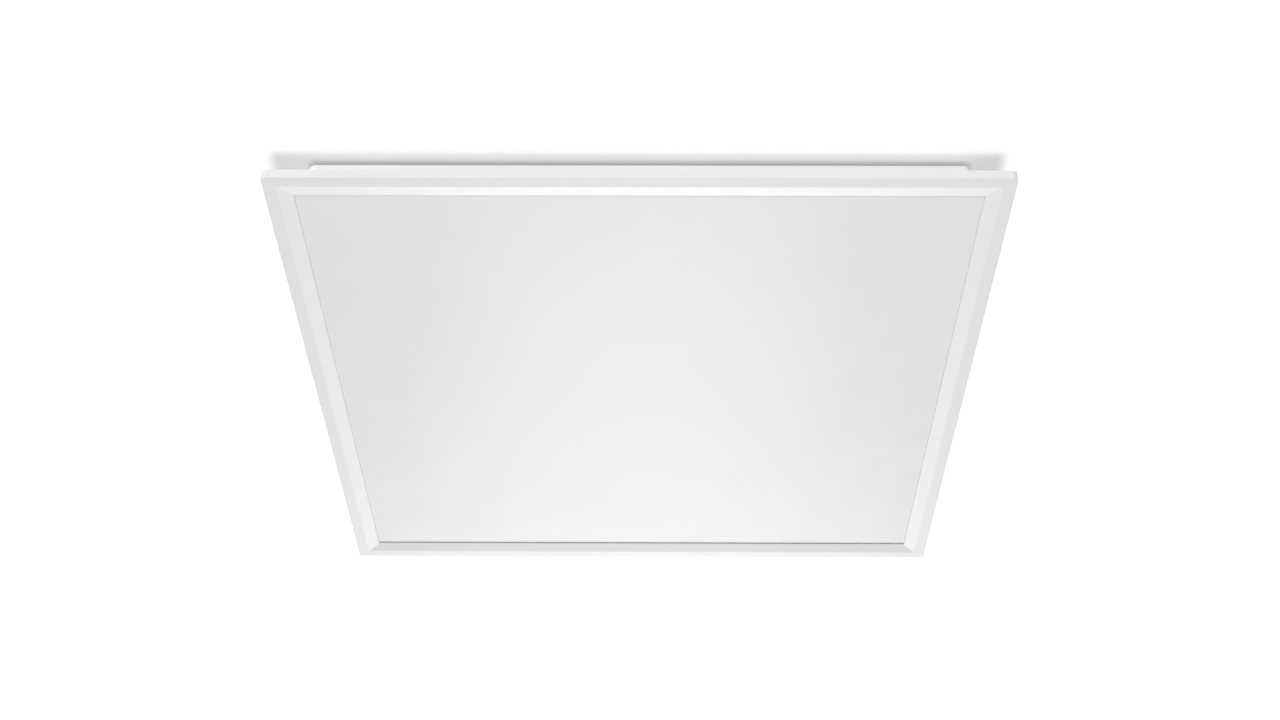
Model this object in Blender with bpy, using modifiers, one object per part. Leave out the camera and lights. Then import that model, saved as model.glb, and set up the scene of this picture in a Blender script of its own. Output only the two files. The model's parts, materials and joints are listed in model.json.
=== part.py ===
"""Recessed ceiling LED panel light for a 600 mm ceiling grid, with its driver on the back.

Blender 4.5, metres, +Z up towards the ceiling void. The origin is the centre of the front face's plane:
the frame's flat rim is at z = 0 and faces down. -Y is the edge nearest to the viewer.
"""

import math

import bmesh
import bpy
from mathutils import Matrix, Vector

MM = 0.001
GAP = 0.3 * MM  # air between pieces that touch
OVERLAP = 0.4 * MM  # how deep a shape goes into the one that it is joined to

# --- Driving dimensions ------------------------------------------------------------------------------
PANEL_SIDE = 597 * MM
FRAME_HEIGHT = 9 * MM
FRAME_CORNER_RADIUS = 4 * MM
FRAME_EDGE_RADIUS = 0.8 * MM
FRAME_WALL = 2 * MM
FLAT_WIDTH = 10.5 * MM  # the flat rim that lies on the ceiling grid
BEVEL_END = 22.6 * MM  # from the outer edge to the window
BEVEL_RISE = 2 * MM
LEDGE_TOP = 4 * MM  # the diffuser lies on this ledge
RIB_INNER = 15.6 * MM  # the rib that locates the diffuser, measured from the outer edge
RIB_WIDTH = 1.4 * MM

DIFFUSER_THICKNESS = 1.5 * MM
DIFFUSER_INSET = 16.2 * MM

TRAY_SHEET = 0.8 * MM
TRAY_TOP = 41.6 * MM
TRAY_TOP_INSET = 29.5 * MM
TRAY_WALL_INSET = 19 * MM
TRAY_FLANGE_INSET = 3 * MM
TRAY_CORNER_RADIUS = 6 * MM
BEND_RADIUS = 2 * MM
BEAD_HEIGHT = 1.5 * MM
BEAD_WIDTH = 12 * MM
BEAD_SLOPE = 1.6 * MM

LED_PITCH = 88 * MM
LED_ROWS = 6
BOARD_LENGTH = 500 * MM
BOARD_WIDTH = 12 * MM
BOARD_THICKNESS = 1.2 * MM
LENS_RADIUS = 7.5 * MM
LENS_HEIGHT = 6.3 * MM
BOARD_PLUG_HEIGHT = 2.5 * MM

FOIL_THICKNESS = 0.5 * MM
FOIL_TOP = 35 * MM
FOIL_CLEARANCE = 2.2 * MM  # horizontally, from the tray's wall to the foil

RIM_SCREW_INSET = 8.2 * MM
RIM_SCREW_OFFSET = 170 * MM  # along each side, from its middle

BOX_HALF_WIDTH = 40 * MM  # the driver box, in Y
BOX_TOP = 68 * MM
COVER_SHEET = 1 * MM
COVER_END = -125 * MM  # the cover's closed end, in X
BAY_START = 60 * MM  # the wiring bay's partition, in X
BAY_END = 124 * MM
BAY_TOP = 66 * MM
CARRIER_WALL = 2 * MM
CARRIER_HALF_WIDTH = 38 * MM
EAR_SCREW_X = (-105 * MM, 40 * MM)
EAR_SCREW_Y = 56 * MM

PCB_BOTTOM = 48.9 * MM
PCB_THICKNESS = 1.6 * MM
PCB_START = -96 * MM
PCB_END = 56 * MM
PCB_HALF_WIDTH = 33 * MM

HINGE_Y = 41.8 * MM
HINGE_Z = 66 * MM
KNUCKLE_RADIUS = 3.2 * MM
HINGE_PIN_RADIUS = 1.3 * MM
LID_KNUCKLE = (78 * MM, 108 * MM)  # the lid's knuckle, in X
EAR_KNUCKLES = ((70 * MM, 77.4 * MM), (108.6 * MM, 116 * MM))

CABLE_Z = 52.5 * MM
CABLE_HOLE_RADIUS = 5 * MM
CLAMP_X = 112 * MM
CLAMP_POST_Y = 12.5 * MM
CLAMP_POST_TOP = 57.2 * MM

POLE_PITCH = 9 * MM
BUTTON_X = 75 * MM
BUTTON_SIZE = 4.6 * MM
BUTTON_BOTTOM = 49.3 * MM
BUTTON_TOP = 59.5 * MM
BLOCK_TOP = 57.5 * MM

SWITCH_X = -14 * MM
SWITCH_Z = 55 * MM
SWITCH_TRAVEL = 3 * MM

GROMMET_X = -108 * MM
DC_LEAD_RADIUS = 1.2 * MM
DC_LEAD_Z = 37.4 * MM
EARTH_X, EARTH_Y = 79 * MM, -27 * MM

CLIP_PIVOT_X = 200 * MM
CLIP_PIVOT_Y = 250 * MM
CLIP_SHEET = 1.2 * MM
CLIP_LENGTH = 62 * MM
CLIP_WIDTH = 16 * MM
CLIP_TAB_HEIGHT = 6 * MM
RIVET_RADIUS = 2 * MM

CORNER_STEPS = 4
HALF = PANEL_SIDE / 2
BOARD_TOP = TRAY_TOP - TRAY_SHEET - GAP
BOARD_BOTTOM = BOARD_TOP - BOARD_THICKNESS
BOX_FLOOR = TRAY_TOP + GAP
CARRIER_FLOOR_TOP = BOX_FLOOR + CARRIER_WALL
PCB_TOP = PCB_BOTTOM + PCB_THICKNESS
PARTS_BOTTOM = PCB_TOP + GAP
DIFFUSER_TOP = LEDGE_TOP + GAP + DIFFUSER_THICKNESS
FLANGE_BOTTOM = DIFFUSER_TOP + GAP
FLANGE_TOP = FLANGE_BOTTOM + TRAY_SHEET
CLIP_BOTTOM = TRAY_TOP + 2 * GAP


# --- Scene, materials and objects --------------------------------------------------------------------
def clear_scene():
    for obj in list(bpy.data.objects):
        bpy.data.objects.remove(obj, do_unlink=True)


def new_collection(name):
    collection = bpy.data.collections.new(name)
    bpy.context.scene.collection.children.link(collection)
    return collection


def new_material(name, colour, roughness, metallic=0.0):
    material = bpy.data.materials.new(name)
    material.use_nodes = True
    shader = material.node_tree.nodes["Principled BSDF"]
    shader.inputs["Base Color"].default_value = (*colour, 1)
    shader.inputs["Roughness"].default_value = roughness
    shader.inputs["Metallic"].default_value = metallic
    return material


clear_scene()
MODEL = new_collection("led_panel_light")
HELPERS = new_collection("cutters")

FRAME_WHITE = new_material("frame_white", (0.84, 0.84, 0.83), 0.45)
OPAL = new_material("opal_diffuser", (0.88, 0.89, 0.89), 0.3)
PAINTED_STEEL = new_material("painted_steel", (0.82, 0.82, 0.81), 0.5)
REFLECTOR = new_material("reflector_white", (0.93, 0.93, 0.93), 0.35)
BOARD_WHITE = new_material("board_white", (0.85, 0.85, 0.83), 0.5)
ZINC = new_material("zinc_steel", (0.62, 0.63, 0.65), 0.35, 1.0)
CARRIER_PLASTIC = new_material("white_plastic", (0.8, 0.8, 0.78), 0.55)
LID_PLASTIC = new_material("grey_plastic", (0.55, 0.56, 0.58), 0.5)
TERMINAL_PLASTIC = new_material("terminal_plastic", (0.75, 0.76, 0.75), 0.4)
BUTTON_ORANGE = new_material("button_orange", (0.9, 0.32, 0.05), 0.4)
BLACK_PLASTIC = new_material("black_plastic", (0.03, 0.03, 0.03), 0.5)
PCB_GREEN = new_material("pcb_green", (0.05, 0.24, 0.1), 0.5)
COPPER = new_material("copper_winding", (0.6, 0.25, 0.1), 0.4, 1.0)
FERRITE = new_material("ferrite", (0.08, 0.08, 0.085), 0.6)
CAPACITOR_SLEEVE = new_material("capacitor_sleeve", (0.03, 0.04, 0.07), 0.4)
ALUMINIUM = new_material("aluminium", (0.75, 0.76, 0.77), 0.35, 1.0)
RUBBER = new_material("rubber", (0.05, 0.05, 0.05), 0.8)
WIRE_WHITE = new_material("wire_white", (0.85, 0.85, 0.83), 0.5)
WIRE_EARTH = new_material("wire_earth", (0.35, 0.6, 0.1), 0.5)
LABEL_SILVER = new_material("label_silver", (0.7, 0.71, 0.72), 0.4)


def add_object(name, mesh, material, location=(0, 0, 0), rotation=(0, 0, 0), collection=None):
    obj = bpy.data.objects.new(name, mesh)
    (collection or MODEL).objects.link(obj)
    obj.location = location
    obj.rotation_euler = rotation
    if material is not None and not mesh.materials:
        mesh.materials.append(material)
    return obj


def add_bmesh(name, bm, material, location=(0, 0, 0), rotation=(0, 0, 0)):
    mesh = bpy.data.meshes.new(name)
    bm.to_mesh(mesh)
    bm.free()
    return add_object(name, mesh, material, location, rotation)


def as_helper(obj):
    """Makes obj a cutter, or a shape that is joined to another: it evaluates, and isn't part of the object."""
    MODEL.objects.unlink(obj)
    HELPERS.objects.link(obj)
    obj.hide_render = True
    obj.display_type = "WIRE"
    return obj


def boolean(obj, other, operation):
    modifier = obj.modifiers.new(f"{operation.lower()}_{other.name}", "BOOLEAN")
    modifier.operation = operation
    modifier.object = as_helper(other)
    return obj


def join(obj, other):
    return boolean(obj, other, "UNION")


def cut(obj, other):
    return boolean(obj, other, "DIFFERENCE")


def bevel(obj, width, segments=2, angle=math.radians(40)):
    modifier = obj.modifiers.new("bevel", "BEVEL")
    modifier.width = width
    modifier.segments = segments
    modifier.limit_method = "ANGLE"
    modifier.angle_limit = angle
    modifier.harden_normals = False
    return obj


def shade_smooth(obj, angle=math.radians(35)):
    obj.data.shade_smooth()
    obj.data.set_sharp_from_angle(angle=angle)
    return obj


def baked_mesh(obj):
    """The evaluated mesh of obj in the scene's frame. obj is removed, and copies of a repeated piece share it."""
    bpy.context.view_layer.update()
    graph = bpy.context.evaluated_depsgraph_get()
    mesh = bpy.data.meshes.new_from_object(obj.evaluated_get(graph))
    bm = bmesh.new()
    bm.from_mesh(mesh)
    bm.transform(obj.matrix_world)
    bmesh.ops.remove_doubles(bm, verts=bm.verts, dist=1e-6)
    bm.to_mesh(mesh)
    bm.free()
    bpy.data.objects.remove(obj, do_unlink=True)
    return mesh


# --- Shapes ------------------------------------------------------------------------------------------
def add_box(bm, low, high):
    size = [b - a for a, b in zip(low, high)]
    centre = [(a + b) / 2 for a, b in zip(low, high)]
    bmesh.ops.create_cube(bm, size=1, matrix=Matrix.LocRotScale(Vector(centre), None, Vector(size)))


def box(name, low, high, material=None):
    """A box between two corners, in the panel's frame. Its origin is its centre."""
    centre = Vector([(a + b) / 2 for a, b in zip(low, high)])
    bm = bmesh.new()
    add_box(bm, Vector(low) - centre, Vector(high) - centre)
    return add_bmesh(name, bm, material, centre)


def add_cylinder(bm, radius, start, end, segments=20):
    """A cylinder from start to end, which differ along one axis or any direction."""
    start, end = Vector(start), Vector(end)
    along = end - start
    turn = Vector((0, 0, 1)).rotation_difference(along).to_matrix().to_4x4()
    bmesh.ops.create_cone(
        bm,
        cap_ends=True,
        segments=segments,
        radius1=radius,
        radius2=radius,
        depth=along.length,
        matrix=Matrix.Translation((start + end) / 2) @ turn,
    )


def cylinders(name, radius, spans, material=None, segments=20):
    """One object of separate cylinders, for cutting or joining. spans is a list of (start, end)."""
    bm = bmesh.new()
    for start, end in spans:
        add_cylinder(bm, radius, start, end, segments)
    return add_bmesh(name, bm, material)


def turned(name, profile, material, location=(0, 0, 0), rotation=(0, 0, 0), steps=20, closed=False):
    """A turned solid. profile is (radius, z) down its outer side, and closed joins its last point to its first."""
    bm = bmesh.new()
    points = [bm.verts.new((r, 0, z)) for r, z in profile]
    for a, b in zip(points, points[1:]):
        bm.edges.new((a, b))
    if closed:
        bm.edges.new((points[-1], points[0]))
    obj = add_bmesh(name, bm, material, location, rotation)
    screw = obj.modifiers.new("turn", "SCREW")
    screw.steps = screw.render_steps = steps
    screw.use_merge_vertices = True
    screw.merge_threshold = 1e-6
    return obj


def rounded_ring(half_x, half_y, radius, z, steps=CORNER_STEPS):
    """The points of a rounded rectangle at height z, anticlockwise from +X."""
    points = []
    for quarter in range(4):
        sign_x = 1 if quarter in (0, 3) else -1
        sign_y = 1 if quarter in (0, 1) else -1
        centre_x = sign_x * (half_x - radius)
        centre_y = sign_y * (half_y - radius)
        for step in range(steps + 1):
            angle = math.pi / 2 * (quarter + step / steps)
            points.append((centre_x + radius * math.cos(angle), centre_y + radius * math.sin(angle), z))
    return points


def add_loft(bm, rings, capped=(True, True), closed=False, matrix=None):
    """Walls between rings with the same number of points. closed joins the last ring to the first."""
    place = matrix or Matrix.Identity(4)
    loops = [[bm.verts.new(place @ Vector(p)) for p in ring] for ring in rings]
    pairs = list(zip(loops, loops[1:]))
    if closed:
        pairs.append((loops[-1], loops[0]))
    for low, high in pairs:
        for i, point in enumerate(low):
            j = (i + 1) % len(low)
            bm.faces.new((point, low[j], high[j], high[i]))
    if capped[0] and not closed:
        bm.faces.new(loops[0][::-1])
    if capped[1] and not closed:
        bm.faces.new(loops[-1])


def inset_ring(inset, z, corner_radius, least_radius=0.4 * MM):
    """A ring of the square panel, inset from its outer edge."""
    half = HALF - inset
    return rounded_ring(half, half, max(corner_radius, least_radius), z)


def smooth_path(points, spacing):
    """Points about spacing apart on a smooth curve through the given ones (Catmull-Rom)."""
    points = [Vector(p) for p in points]
    ends = [2 * points[0] - points[1], *points, 2 * points[-1] - points[-2]]
    path = [points[0]]
    for before, start, end, after in zip(ends, ends[1:], ends[2:], ends[3:]):
        count = max(1, round((end - start).length / spacing))
        for step in range(1, count + 1):
            t = step / count
            bend = 2 * start + (end - before) * t + (2 * before - 5 * start + 4 * end - after) * t**2
            path.append((bend + (3 * start - before - 3 * end + after) * t**3) / 2)
    return path


def wire(name, points, radius, material, spacing=3 * MM):
    """A round wire along a smooth route: a swept curve with filled ends, as a closed mesh."""
    path = smooth_path(points, spacing)
    curve = bpy.data.curves.new(f"{name}_route", "CURVE")
    curve.dimensions = "3D"
    curve.bevel_depth = radius
    curve.bevel_resolution = 2
    curve.use_fill_caps = True
    spline = curve.splines.new("POLY")
    spline.points.add(len(path) - 1)
    for point, place in zip(spline.points, path):
        point.co = (*place, 1)
    route = bpy.data.objects.new(f"{name}_route", curve)
    MODEL.objects.link(route)
    return add_object(name, baked_mesh(route), material)


def screw_mesh(head_radius, head_height, shank_radius, shank_length):
    """A pan-head screw. Its origin is under the head, which the shank leaves downwards."""
    dome = [(0, head_height), (0.65 * head_radius, 0.85 * head_height), (head_radius, 0.4 * head_height)]
    profile = [*dome, (head_radius, 0), (shank_radius, 0), (shank_radius, -shank_length), (0, -shank_length)]
    return baked_mesh(turned("screw", profile, ZINC, steps=10))


# --- Front frame and diffuser ------------------------------------------------------------------------
def rim_screw_places():
    """Where the tray is screwed to the frame: two places on each side, as (x, y)."""
    edge = HALF - RIM_SCREW_INSET
    return [
        point
        for side in (-1, 1)
        for offset in (-RIM_SCREW_OFFSET, RIM_SCREW_OFFSET)
        for point in ((offset, side * edge), (side * edge, offset))
    ]


def make_front_frame():
    """The moulded frame: an outer wall, a flat rim, a shallow bevel to the window, and a ledge for the diffuser."""
    rounding = [
        (FRAME_EDGE_RADIUS * (1 - math.cos(a)), FRAME_EDGE_RADIUS * (1 - math.sin(a)))
        for a in (0, math.pi / 6, math.pi / 3, math.pi / 2)
    ]
    rib_top = FLANGE_BOTTOM - GAP
    section = [
        (0, FRAME_HEIGHT),
        *rounding,
        (FLAT_WIDTH, 0),
        (BEVEL_END, BEVEL_RISE),
        (BEVEL_END, LEDGE_TOP),
        (RIB_INNER, LEDGE_TOP),
        (RIB_INNER, rib_top),
        (RIB_INNER - RIB_WIDTH, rib_top),
        (RIB_INNER - RIB_WIDTH, FRAME_WALL),
        (FRAME_WALL, FRAME_WALL),
        (FRAME_WALL, FRAME_HEIGHT),
    ]
    bm = bmesh.new()
    rings = [inset_ring(inset, z, FRAME_CORNER_RADIUS - inset) for inset, z in section]
    add_loft(bm, rings, closed=True)
    bmesh.ops.recalc_face_normals(bm, faces=bm.faces)
    frame = add_bmesh("front_frame", bm, FRAME_WHITE)
    boss_bottom = FRAME_WALL - OVERLAP
    bosses = [((x, y, boss_bottom), (x, y, rib_top)) for x, y in rim_screw_places()]
    join(frame, cylinders("frame_bosses", 3.2 * MM, bosses, segments=12))
    pilots = [((x, y, boss_bottom), (x, y, FRAME_HEIGHT)) for x, y in rim_screw_places()]
    cut(frame, cylinders("boss_pilots", 1.6 * MM, pilots, segments=10))


def make_diffuser():
    half = HALF - DIFFUSER_INSET
    bottom = LEDGE_TOP + GAP
    plate = box("diffuser_plate", (-half, -half, bottom), (half, half, DIFFUSER_TOP), OPAL)
    bevel(plate, 0.3 * MM, 1)


# --- Rear tray ---------------------------------------------------------------------------------------
def bead_places():
    """(x, y, direction, length) of each pressed bead on the tray's back."""
    rows = [(100 * MM, 330 * MM), (176 * MM, 210 * MM)]
    along = [(0, side * row, 0, length) for side in (-1, 1) for row, length in rows]
    place = 178 * MM
    corners = [(sx * place, sy * place, sx * sy * math.pi / 4, 92 * MM) for sx in (-1, 1) for sy in (-1, 1)]
    return along + corners


def beads(name, bottom, top, shrink):
    """Every bead as one object of separate shapes, from height bottom to top, smaller all round by shrink."""
    bm = bmesh.new()
    for x, y, direction, length in bead_places():
        half_length, half_width = length / 2 - shrink, BEAD_WIDTH / 2 - shrink
        rings = []
        for inset, z in ((0, bottom), (BEAD_SLOPE, top)):
            radius = half_width - inset - 0.2 * MM
            rings.append(rounded_ring(half_length - inset, half_width - inset, radius, z, 3))
        place = Matrix.Translation((x, y, 0)) @ Matrix.Rotation(direction, 4, "Z")
        add_loft(bm, rings, matrix=place)
    return add_bmesh(name, bm, None)


def clip_places():
    """(number, sign of x, sign of y) of each grid clip."""
    return [(1 + i, sx, sy) for i, (sx, sy) in enumerate(((-1, -1), (1, -1), (1, 1), (-1, 1)))]


def make_rear_tray():
    """The pressed steel tray: a flange on the frame, sloping walls and a flat back with raised beads."""
    wall_radius = TRAY_CORNER_RADIUS + TRAY_TOP_INSET - TRAY_WALL_INSET
    bm = bmesh.new()
    rings = [
        inset_ring(TRAY_FLANGE_INSET, FLANGE_TOP, FRAME_CORNER_RADIUS),
        inset_ring(TRAY_WALL_INSET, FLANGE_TOP, wall_radius),
        inset_ring(TRAY_TOP_INSET, TRAY_TOP, TRAY_CORNER_RADIUS),
    ]
    add_loft(bm, rings, capped=(False, True))
    tray = add_bmesh("rear_tray", bm, PAINTED_STEEL)
    bevel(tray, BEND_RADIUS, 2)
    sheet = tray.modifiers.new("sheet", "SOLIDIFY")
    sheet.thickness = TRAY_SHEET
    sheet.offset = -1
    sheet.use_even_offset = True
    join(tray, beads("bead_tops", TRAY_TOP - OVERLAP, TRAY_TOP + BEAD_HEIGHT, 0))
    below = TRAY_TOP - TRAY_SHEET - OVERLAP
    cut(tray, beads("bead_hollows", below, TRAY_TOP + BEAD_HEIGHT - TRAY_SHEET, 0.5 * MM))

    def holes(name, radius, places):
        spans = [((x, y, 0), (x, y, TRAY_TOP + BEAD_HEIGHT)) for x, y in places]
        return cylinders(name, radius, spans, segments=12)

    cut(tray, holes("rim_screw_holes", 1.7 * MM, rim_screw_places()))
    rivets = [(sx * CLIP_PIVOT_X, sy * CLIP_PIVOT_Y) for _, sx, sy in clip_places()]
    cut(tray, holes("rivet_holes", RIVET_RADIUS + GAP, rivets))
    ears = [(x, side * EAR_SCREW_Y) for x in EAR_SCREW_X for side in (-1, 1)]
    cut(tray, holes("ear_screw_holes", 1.6 * MM, ears))
    cut(tray, holes("grommet_hole", 4.5 * MM, [(GROMMET_X, 0)]))
    cut(tray, holes("earth_screw_hole", 2 * MM, [(EARTH_X, EARTH_Y)]))


def make_rim_screws():
    mesh = screw_mesh(2.8 * MM, 1.8 * MM, 1.25 * MM, 5 * MM)
    for number, (x, y) in enumerate(rim_screw_places(), 1):
        add_object(f"rim_screw_{number}", mesh, ZINC, (x, y, FLANGE_TOP + GAP))


# --- Light engine ------------------------------------------------------------------------------------
def led_offsets():
    """The distance of each LED row, or LED, from the middle."""
    return [(i - (LED_ROWS - 1) / 2) * LED_PITCH for i in range(LED_ROWS)]


def wall_inset(z):
    """The tray wall's outer surface at height z, measured from the panel's outer edge."""
    share = (z - FLANGE_TOP) / (TRAY_TOP - FLANGE_TOP)
    return TRAY_WALL_INSET + share * (TRAY_TOP_INSET - TRAY_WALL_INSET)


def make_reflector_foil():
    """The white foil that lines the tray, with a hole for each lens."""
    rim_z = DIFFUSER_TOP + 0.7 * MM
    bm = bmesh.new()
    rings = [
        inset_ring(wall_inset(rim_z) + FOIL_CLEARANCE, rim_z, TRAY_CORNER_RADIUS + 9 * MM),
        inset_ring(wall_inset(FOIL_TOP) + FOIL_CLEARANCE, FOIL_TOP, TRAY_CORNER_RADIUS),
    ]
    add_loft(bm, rings, capped=(False, True))
    foil = add_bmesh("reflector_foil", bm, REFLECTOR)
    sheet = foil.modifiers.new("sheet", "SOLIDIFY")
    sheet.thickness = FOIL_THICKNESS
    sheet.offset = -1
    sheet.use_even_offset = True
    spans = [
        ((x, y, FOIL_TOP - 2 * MM), (x, y, FOIL_TOP + 2 * MM)) for x in led_offsets() for y in led_offsets()
    ]
    cut(foil, cylinders("lens_holes", LENS_RADIUS + 1.4 * MM, spans, segments=8))


def board_mesh():
    """An LED board with its lenses and plugs, hanging below its origin, which is the middle of its upper face."""
    half = BOARD_LENGTH / 2
    board = box("board", (-half, -BOARD_WIDTH / 2, -BOARD_THICKNESS), (half, BOARD_WIDTH / 2, 0), BOARD_WHITE)
    top = -BOARD_THICKNESS + OVERLAP
    for number, x in enumerate(led_offsets()):
        dome = [
            (LENS_RADIUS * math.cos(a), -BOARD_THICKNESS - LENS_HEIGHT * math.sin(a))
            for a in (0, math.radians(45), math.radians(90))
        ]
        join(board, turned(f"lens_{number}", [(0, top), (LENS_RADIUS, top), *dome], None, (x, 0, 0), steps=8))
    plug_low = -BOARD_THICKNESS - BOARD_PLUG_HEIGHT
    for end in (-1, 1):
        low_x, high_x = sorted((end * (half - 8 * MM), end * (half - 1 * MM)))
        join(board, box(f"plug_{end}", (low_x, -3 * MM, plug_low), (high_x, 3 * MM, -BOARD_THICKNESS + OVERLAP)))
    return board, plug_low


def make_led_boards():
    board, plug_low = board_mesh()
    low = (GROMMET_X - 4 * MM, -3 * MM, plug_low)
    high = (GROMMET_X + 4 * MM, 3 * MM, -BOARD_THICKNESS + OVERLAP)
    join(board, box("feed_plug", low, high))
    mesh = baked_mesh(board)
    for number, y in enumerate(led_offsets(), 1):
        add_object(f"led_board_{number}", mesh, BOARD_WHITE, (0, y, BOARD_TOP))


def make_jumper_leads():
    """Short leads that join the boards end to end, at the right and the left in turn."""
    plug_z = BOARD_BOTTOM - BOARD_PLUG_HEIGHT / 2
    start = BOARD_LENGTH / 2 - MM + GAP
    rows = led_offsets()
    for number, (y, next_y) in enumerate(zip(rows, rows[1:]), 1):
        side = 1 if number % 2 else -1
        reach = start + 7 * MM
        middle = (y + next_y) / 2
        route = [
            (side * start, y, plug_z),
            (side * (start + 3 * MM), y + MM, plug_z),
            (side * reach, y + 8 * MM, plug_z),
            (side * (reach - 2 * MM), middle, plug_z),
            (side * reach, next_y - 8 * MM, plug_z),
            (side * (start + 3 * MM), next_y - MM, plug_z),
            (side * start, next_y, plug_z),
        ]
        wire(f"jumper_lead_{number}", route, 0.8 * MM, WIRE_WHITE, 9 * MM)


# --- Driver box --------------------------------------------------------------------------------------
def pcb_post_places():
    return [(x, y) for x in (PCB_START + 8 * MM, PCB_END - 8 * MM) for y in (-26 * MM, 26 * MM)]


def make_driver_carrier():
    """The moulded base that holds the circuit board, with the walls, hinge ears and clamp posts of the wiring bay."""
    half = CARRIER_HALF_WIDTH
    inner = half - CARRIER_WALL
    floor = OVERLAP + CARRIER_FLOOR_TOP - CARRIER_WALL
    carrier = box("driver_carrier", (-118 * MM, -half, BOX_FLOOR), (BAY_END, half, CARRIER_FLOOR_TOP), CARRIER_PLASTIC)
    join(carrier, box("bay_block", (BAY_START, -half, floor), (BAY_END, half, BAY_TOP)))
    bay = box(
        "bay_hollow",
        (BAY_START + CARRIER_WALL, -inner, CARRIER_FLOOR_TOP),
        (BAY_END - CARRIER_WALL, inner, BAY_TOP + CARRIER_WALL),
    )
    cut(carrier, bay)

    posts = [((x, y, floor), (x, y, PCB_BOTTOM - GAP)) for x, y in pcb_post_places()]
    join(carrier, cylinders("board_posts", 3 * MM, posts, segments=12))
    clamp_posts = [((CLAMP_X, s * CLAMP_POST_Y, floor), (CLAMP_X, s * CLAMP_POST_Y, CLAMP_POST_TOP)) for s in (-1, 1)]
    join(carrier, cylinders("clamp_posts", 3.4 * MM, clamp_posts, segments=16))
    saddle_top = CABLE_Z - CABLE_HOLE_RADIUS
    join(carrier, box("cable_saddle", (110 * MM, -13 * MM, floor), (114 * MM, 13 * MM, saddle_top)))

    for number, (start, end) in enumerate(EAR_KNUCKLES):
        knuckle = cylinders(f"ear_{number}", KNUCKLE_RADIUS, [((start, HINGE_Y, HINGE_Z), (end, HINGE_Y, HINGE_Z))])
        join(carrier, knuckle)
        low = (start, half - OVERLAP, HINGE_Z - 7 * MM)
        join(carrier, box(f"ear_web_{number}", low, (end, HINGE_Y + KNUCKLE_RADIUS - MM, HINGE_Z - MM)))

    start, end = EAR_KNUCKLES[0][0] - MM, EAR_KNUCKLES[1][1] + MM
    pin_bore = [((start, HINGE_Y, HINGE_Z), (end, HINGE_Y, HINGE_Z))]
    cut(carrier, cylinders("ear_bore", HINGE_PIN_RADIUS + GAP, pin_bore, segments=16))
    entry = [((BAY_END - 3 * MM, 0, CABLE_Z), (BAY_END + MM, 0, CABLE_Z))]
    cut(carrier, cylinders("cable_entry", CABLE_HOLE_RADIUS, entry, segments=24))
    mains_z = 54 * MM
    mains = [((BAY_START - MM, 0, mains_z), (BAY_START + 3 * MM, 0, mains_z))]
    cut(carrier, cylinders("mains_lead_hole", 2.2 * MM, mains, segments=12))
    pilots = [((CLAMP_X, s * CLAMP_POST_Y, 50 * MM), (CLAMP_X, s * CLAMP_POST_Y, 60 * MM)) for s in (-1, 1)]
    cut(carrier, cylinders("clamp_pilots", 1.6 * MM, pilots, segments=12))
    windows = [
        ((GROMMET_X, 0, BOX_FLOOR - MM), (GROMMET_X, 0, CARRIER_FLOOR_TOP + MM)),
        ((EARTH_X, EARTH_Y, BOX_FLOOR - MM), (EARTH_X, EARTH_Y, CARRIER_FLOOR_TOP + MM)),
    ]
    cut(carrier, cylinders("floor_windows", 7 * MM, windows, segments=20))


def make_driver_cover():
    """The folded steel cover over the circuit board: open towards the wiring bay, with four screwed ears."""
    half = BOX_HALF_WIDTH
    end = BAY_START + 1.7 * MM
    bottom = BOX_FLOOR
    cover = box("driver_cover", (COVER_END, -half, bottom), (end, half, BOX_TOP), PAINTED_STEEL)
    bevel(cover, 1.5 * MM, 2)
    hollow = box(
        "cover_hollow",
        (COVER_END + COVER_SHEET, -half + COVER_SHEET, bottom - MM),
        (end + MM, half - COVER_SHEET, BOX_TOP - COVER_SHEET),
    )
    cut(cover, hollow)
    for number, (x, side) in enumerate((x, side) for x in EAR_SCREW_X for side in (-1, 1)):
        low_y, high_y = sorted((side * (half - OVERLAP), side * (EAR_SCREW_Y + 6 * MM)))
        ear = box(f"cover_ear_{number}", (x - 7 * MM, low_y, bottom), (x + 7 * MM, high_y, bottom + COVER_SHEET))
        join(cover, ear)
    holes = [((x, s * EAR_SCREW_Y, 40 * MM), (x, s * EAR_SCREW_Y, 50 * MM)) for x in EAR_SCREW_X for s in (-1, 1)]
    cut(cover, cylinders("cover_ear_holes", 1.7 * MM, holes, segments=16))

    bm = bmesh.new()
    for slot in range(9):
        x = -100 * MM + slot * 9 * MM
        rings = [rounded_ring(1.5 * MM, 20 * MM, 1.4 * MM, z, 2) for z in (BOX_TOP - 3 * MM, BOX_TOP + MM)]
        add_loft(bm, rings, matrix=Matrix.Translation((x, 0, 0)))
    cut(cover, add_bmesh("cover_vents", bm, None))
    reach = SWITCH_TRAVEL + 3.5 * MM
    low = (SWITCH_X - reach, -half - MM, SWITCH_Z - 2.2 * MM)
    cut(cover, box("switch_window", low, (SWITCH_X + reach, -half + 2 * MM, SWITCH_Z + 2.2 * MM)))


def make_cover_screws():
    mesh = screw_mesh(3 * MM, 2 * MM, 1.3 * MM, 6 * MM)
    places = [(x, side * EAR_SCREW_Y) for x in EAR_SCREW_X for side in (-1, 1)]
    for number, (x, y) in enumerate(places, 1):
        add_object(f"cover_screw_{number}", mesh, ZINC, (x, y, BOX_FLOOR + COVER_SHEET + GAP))


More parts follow.
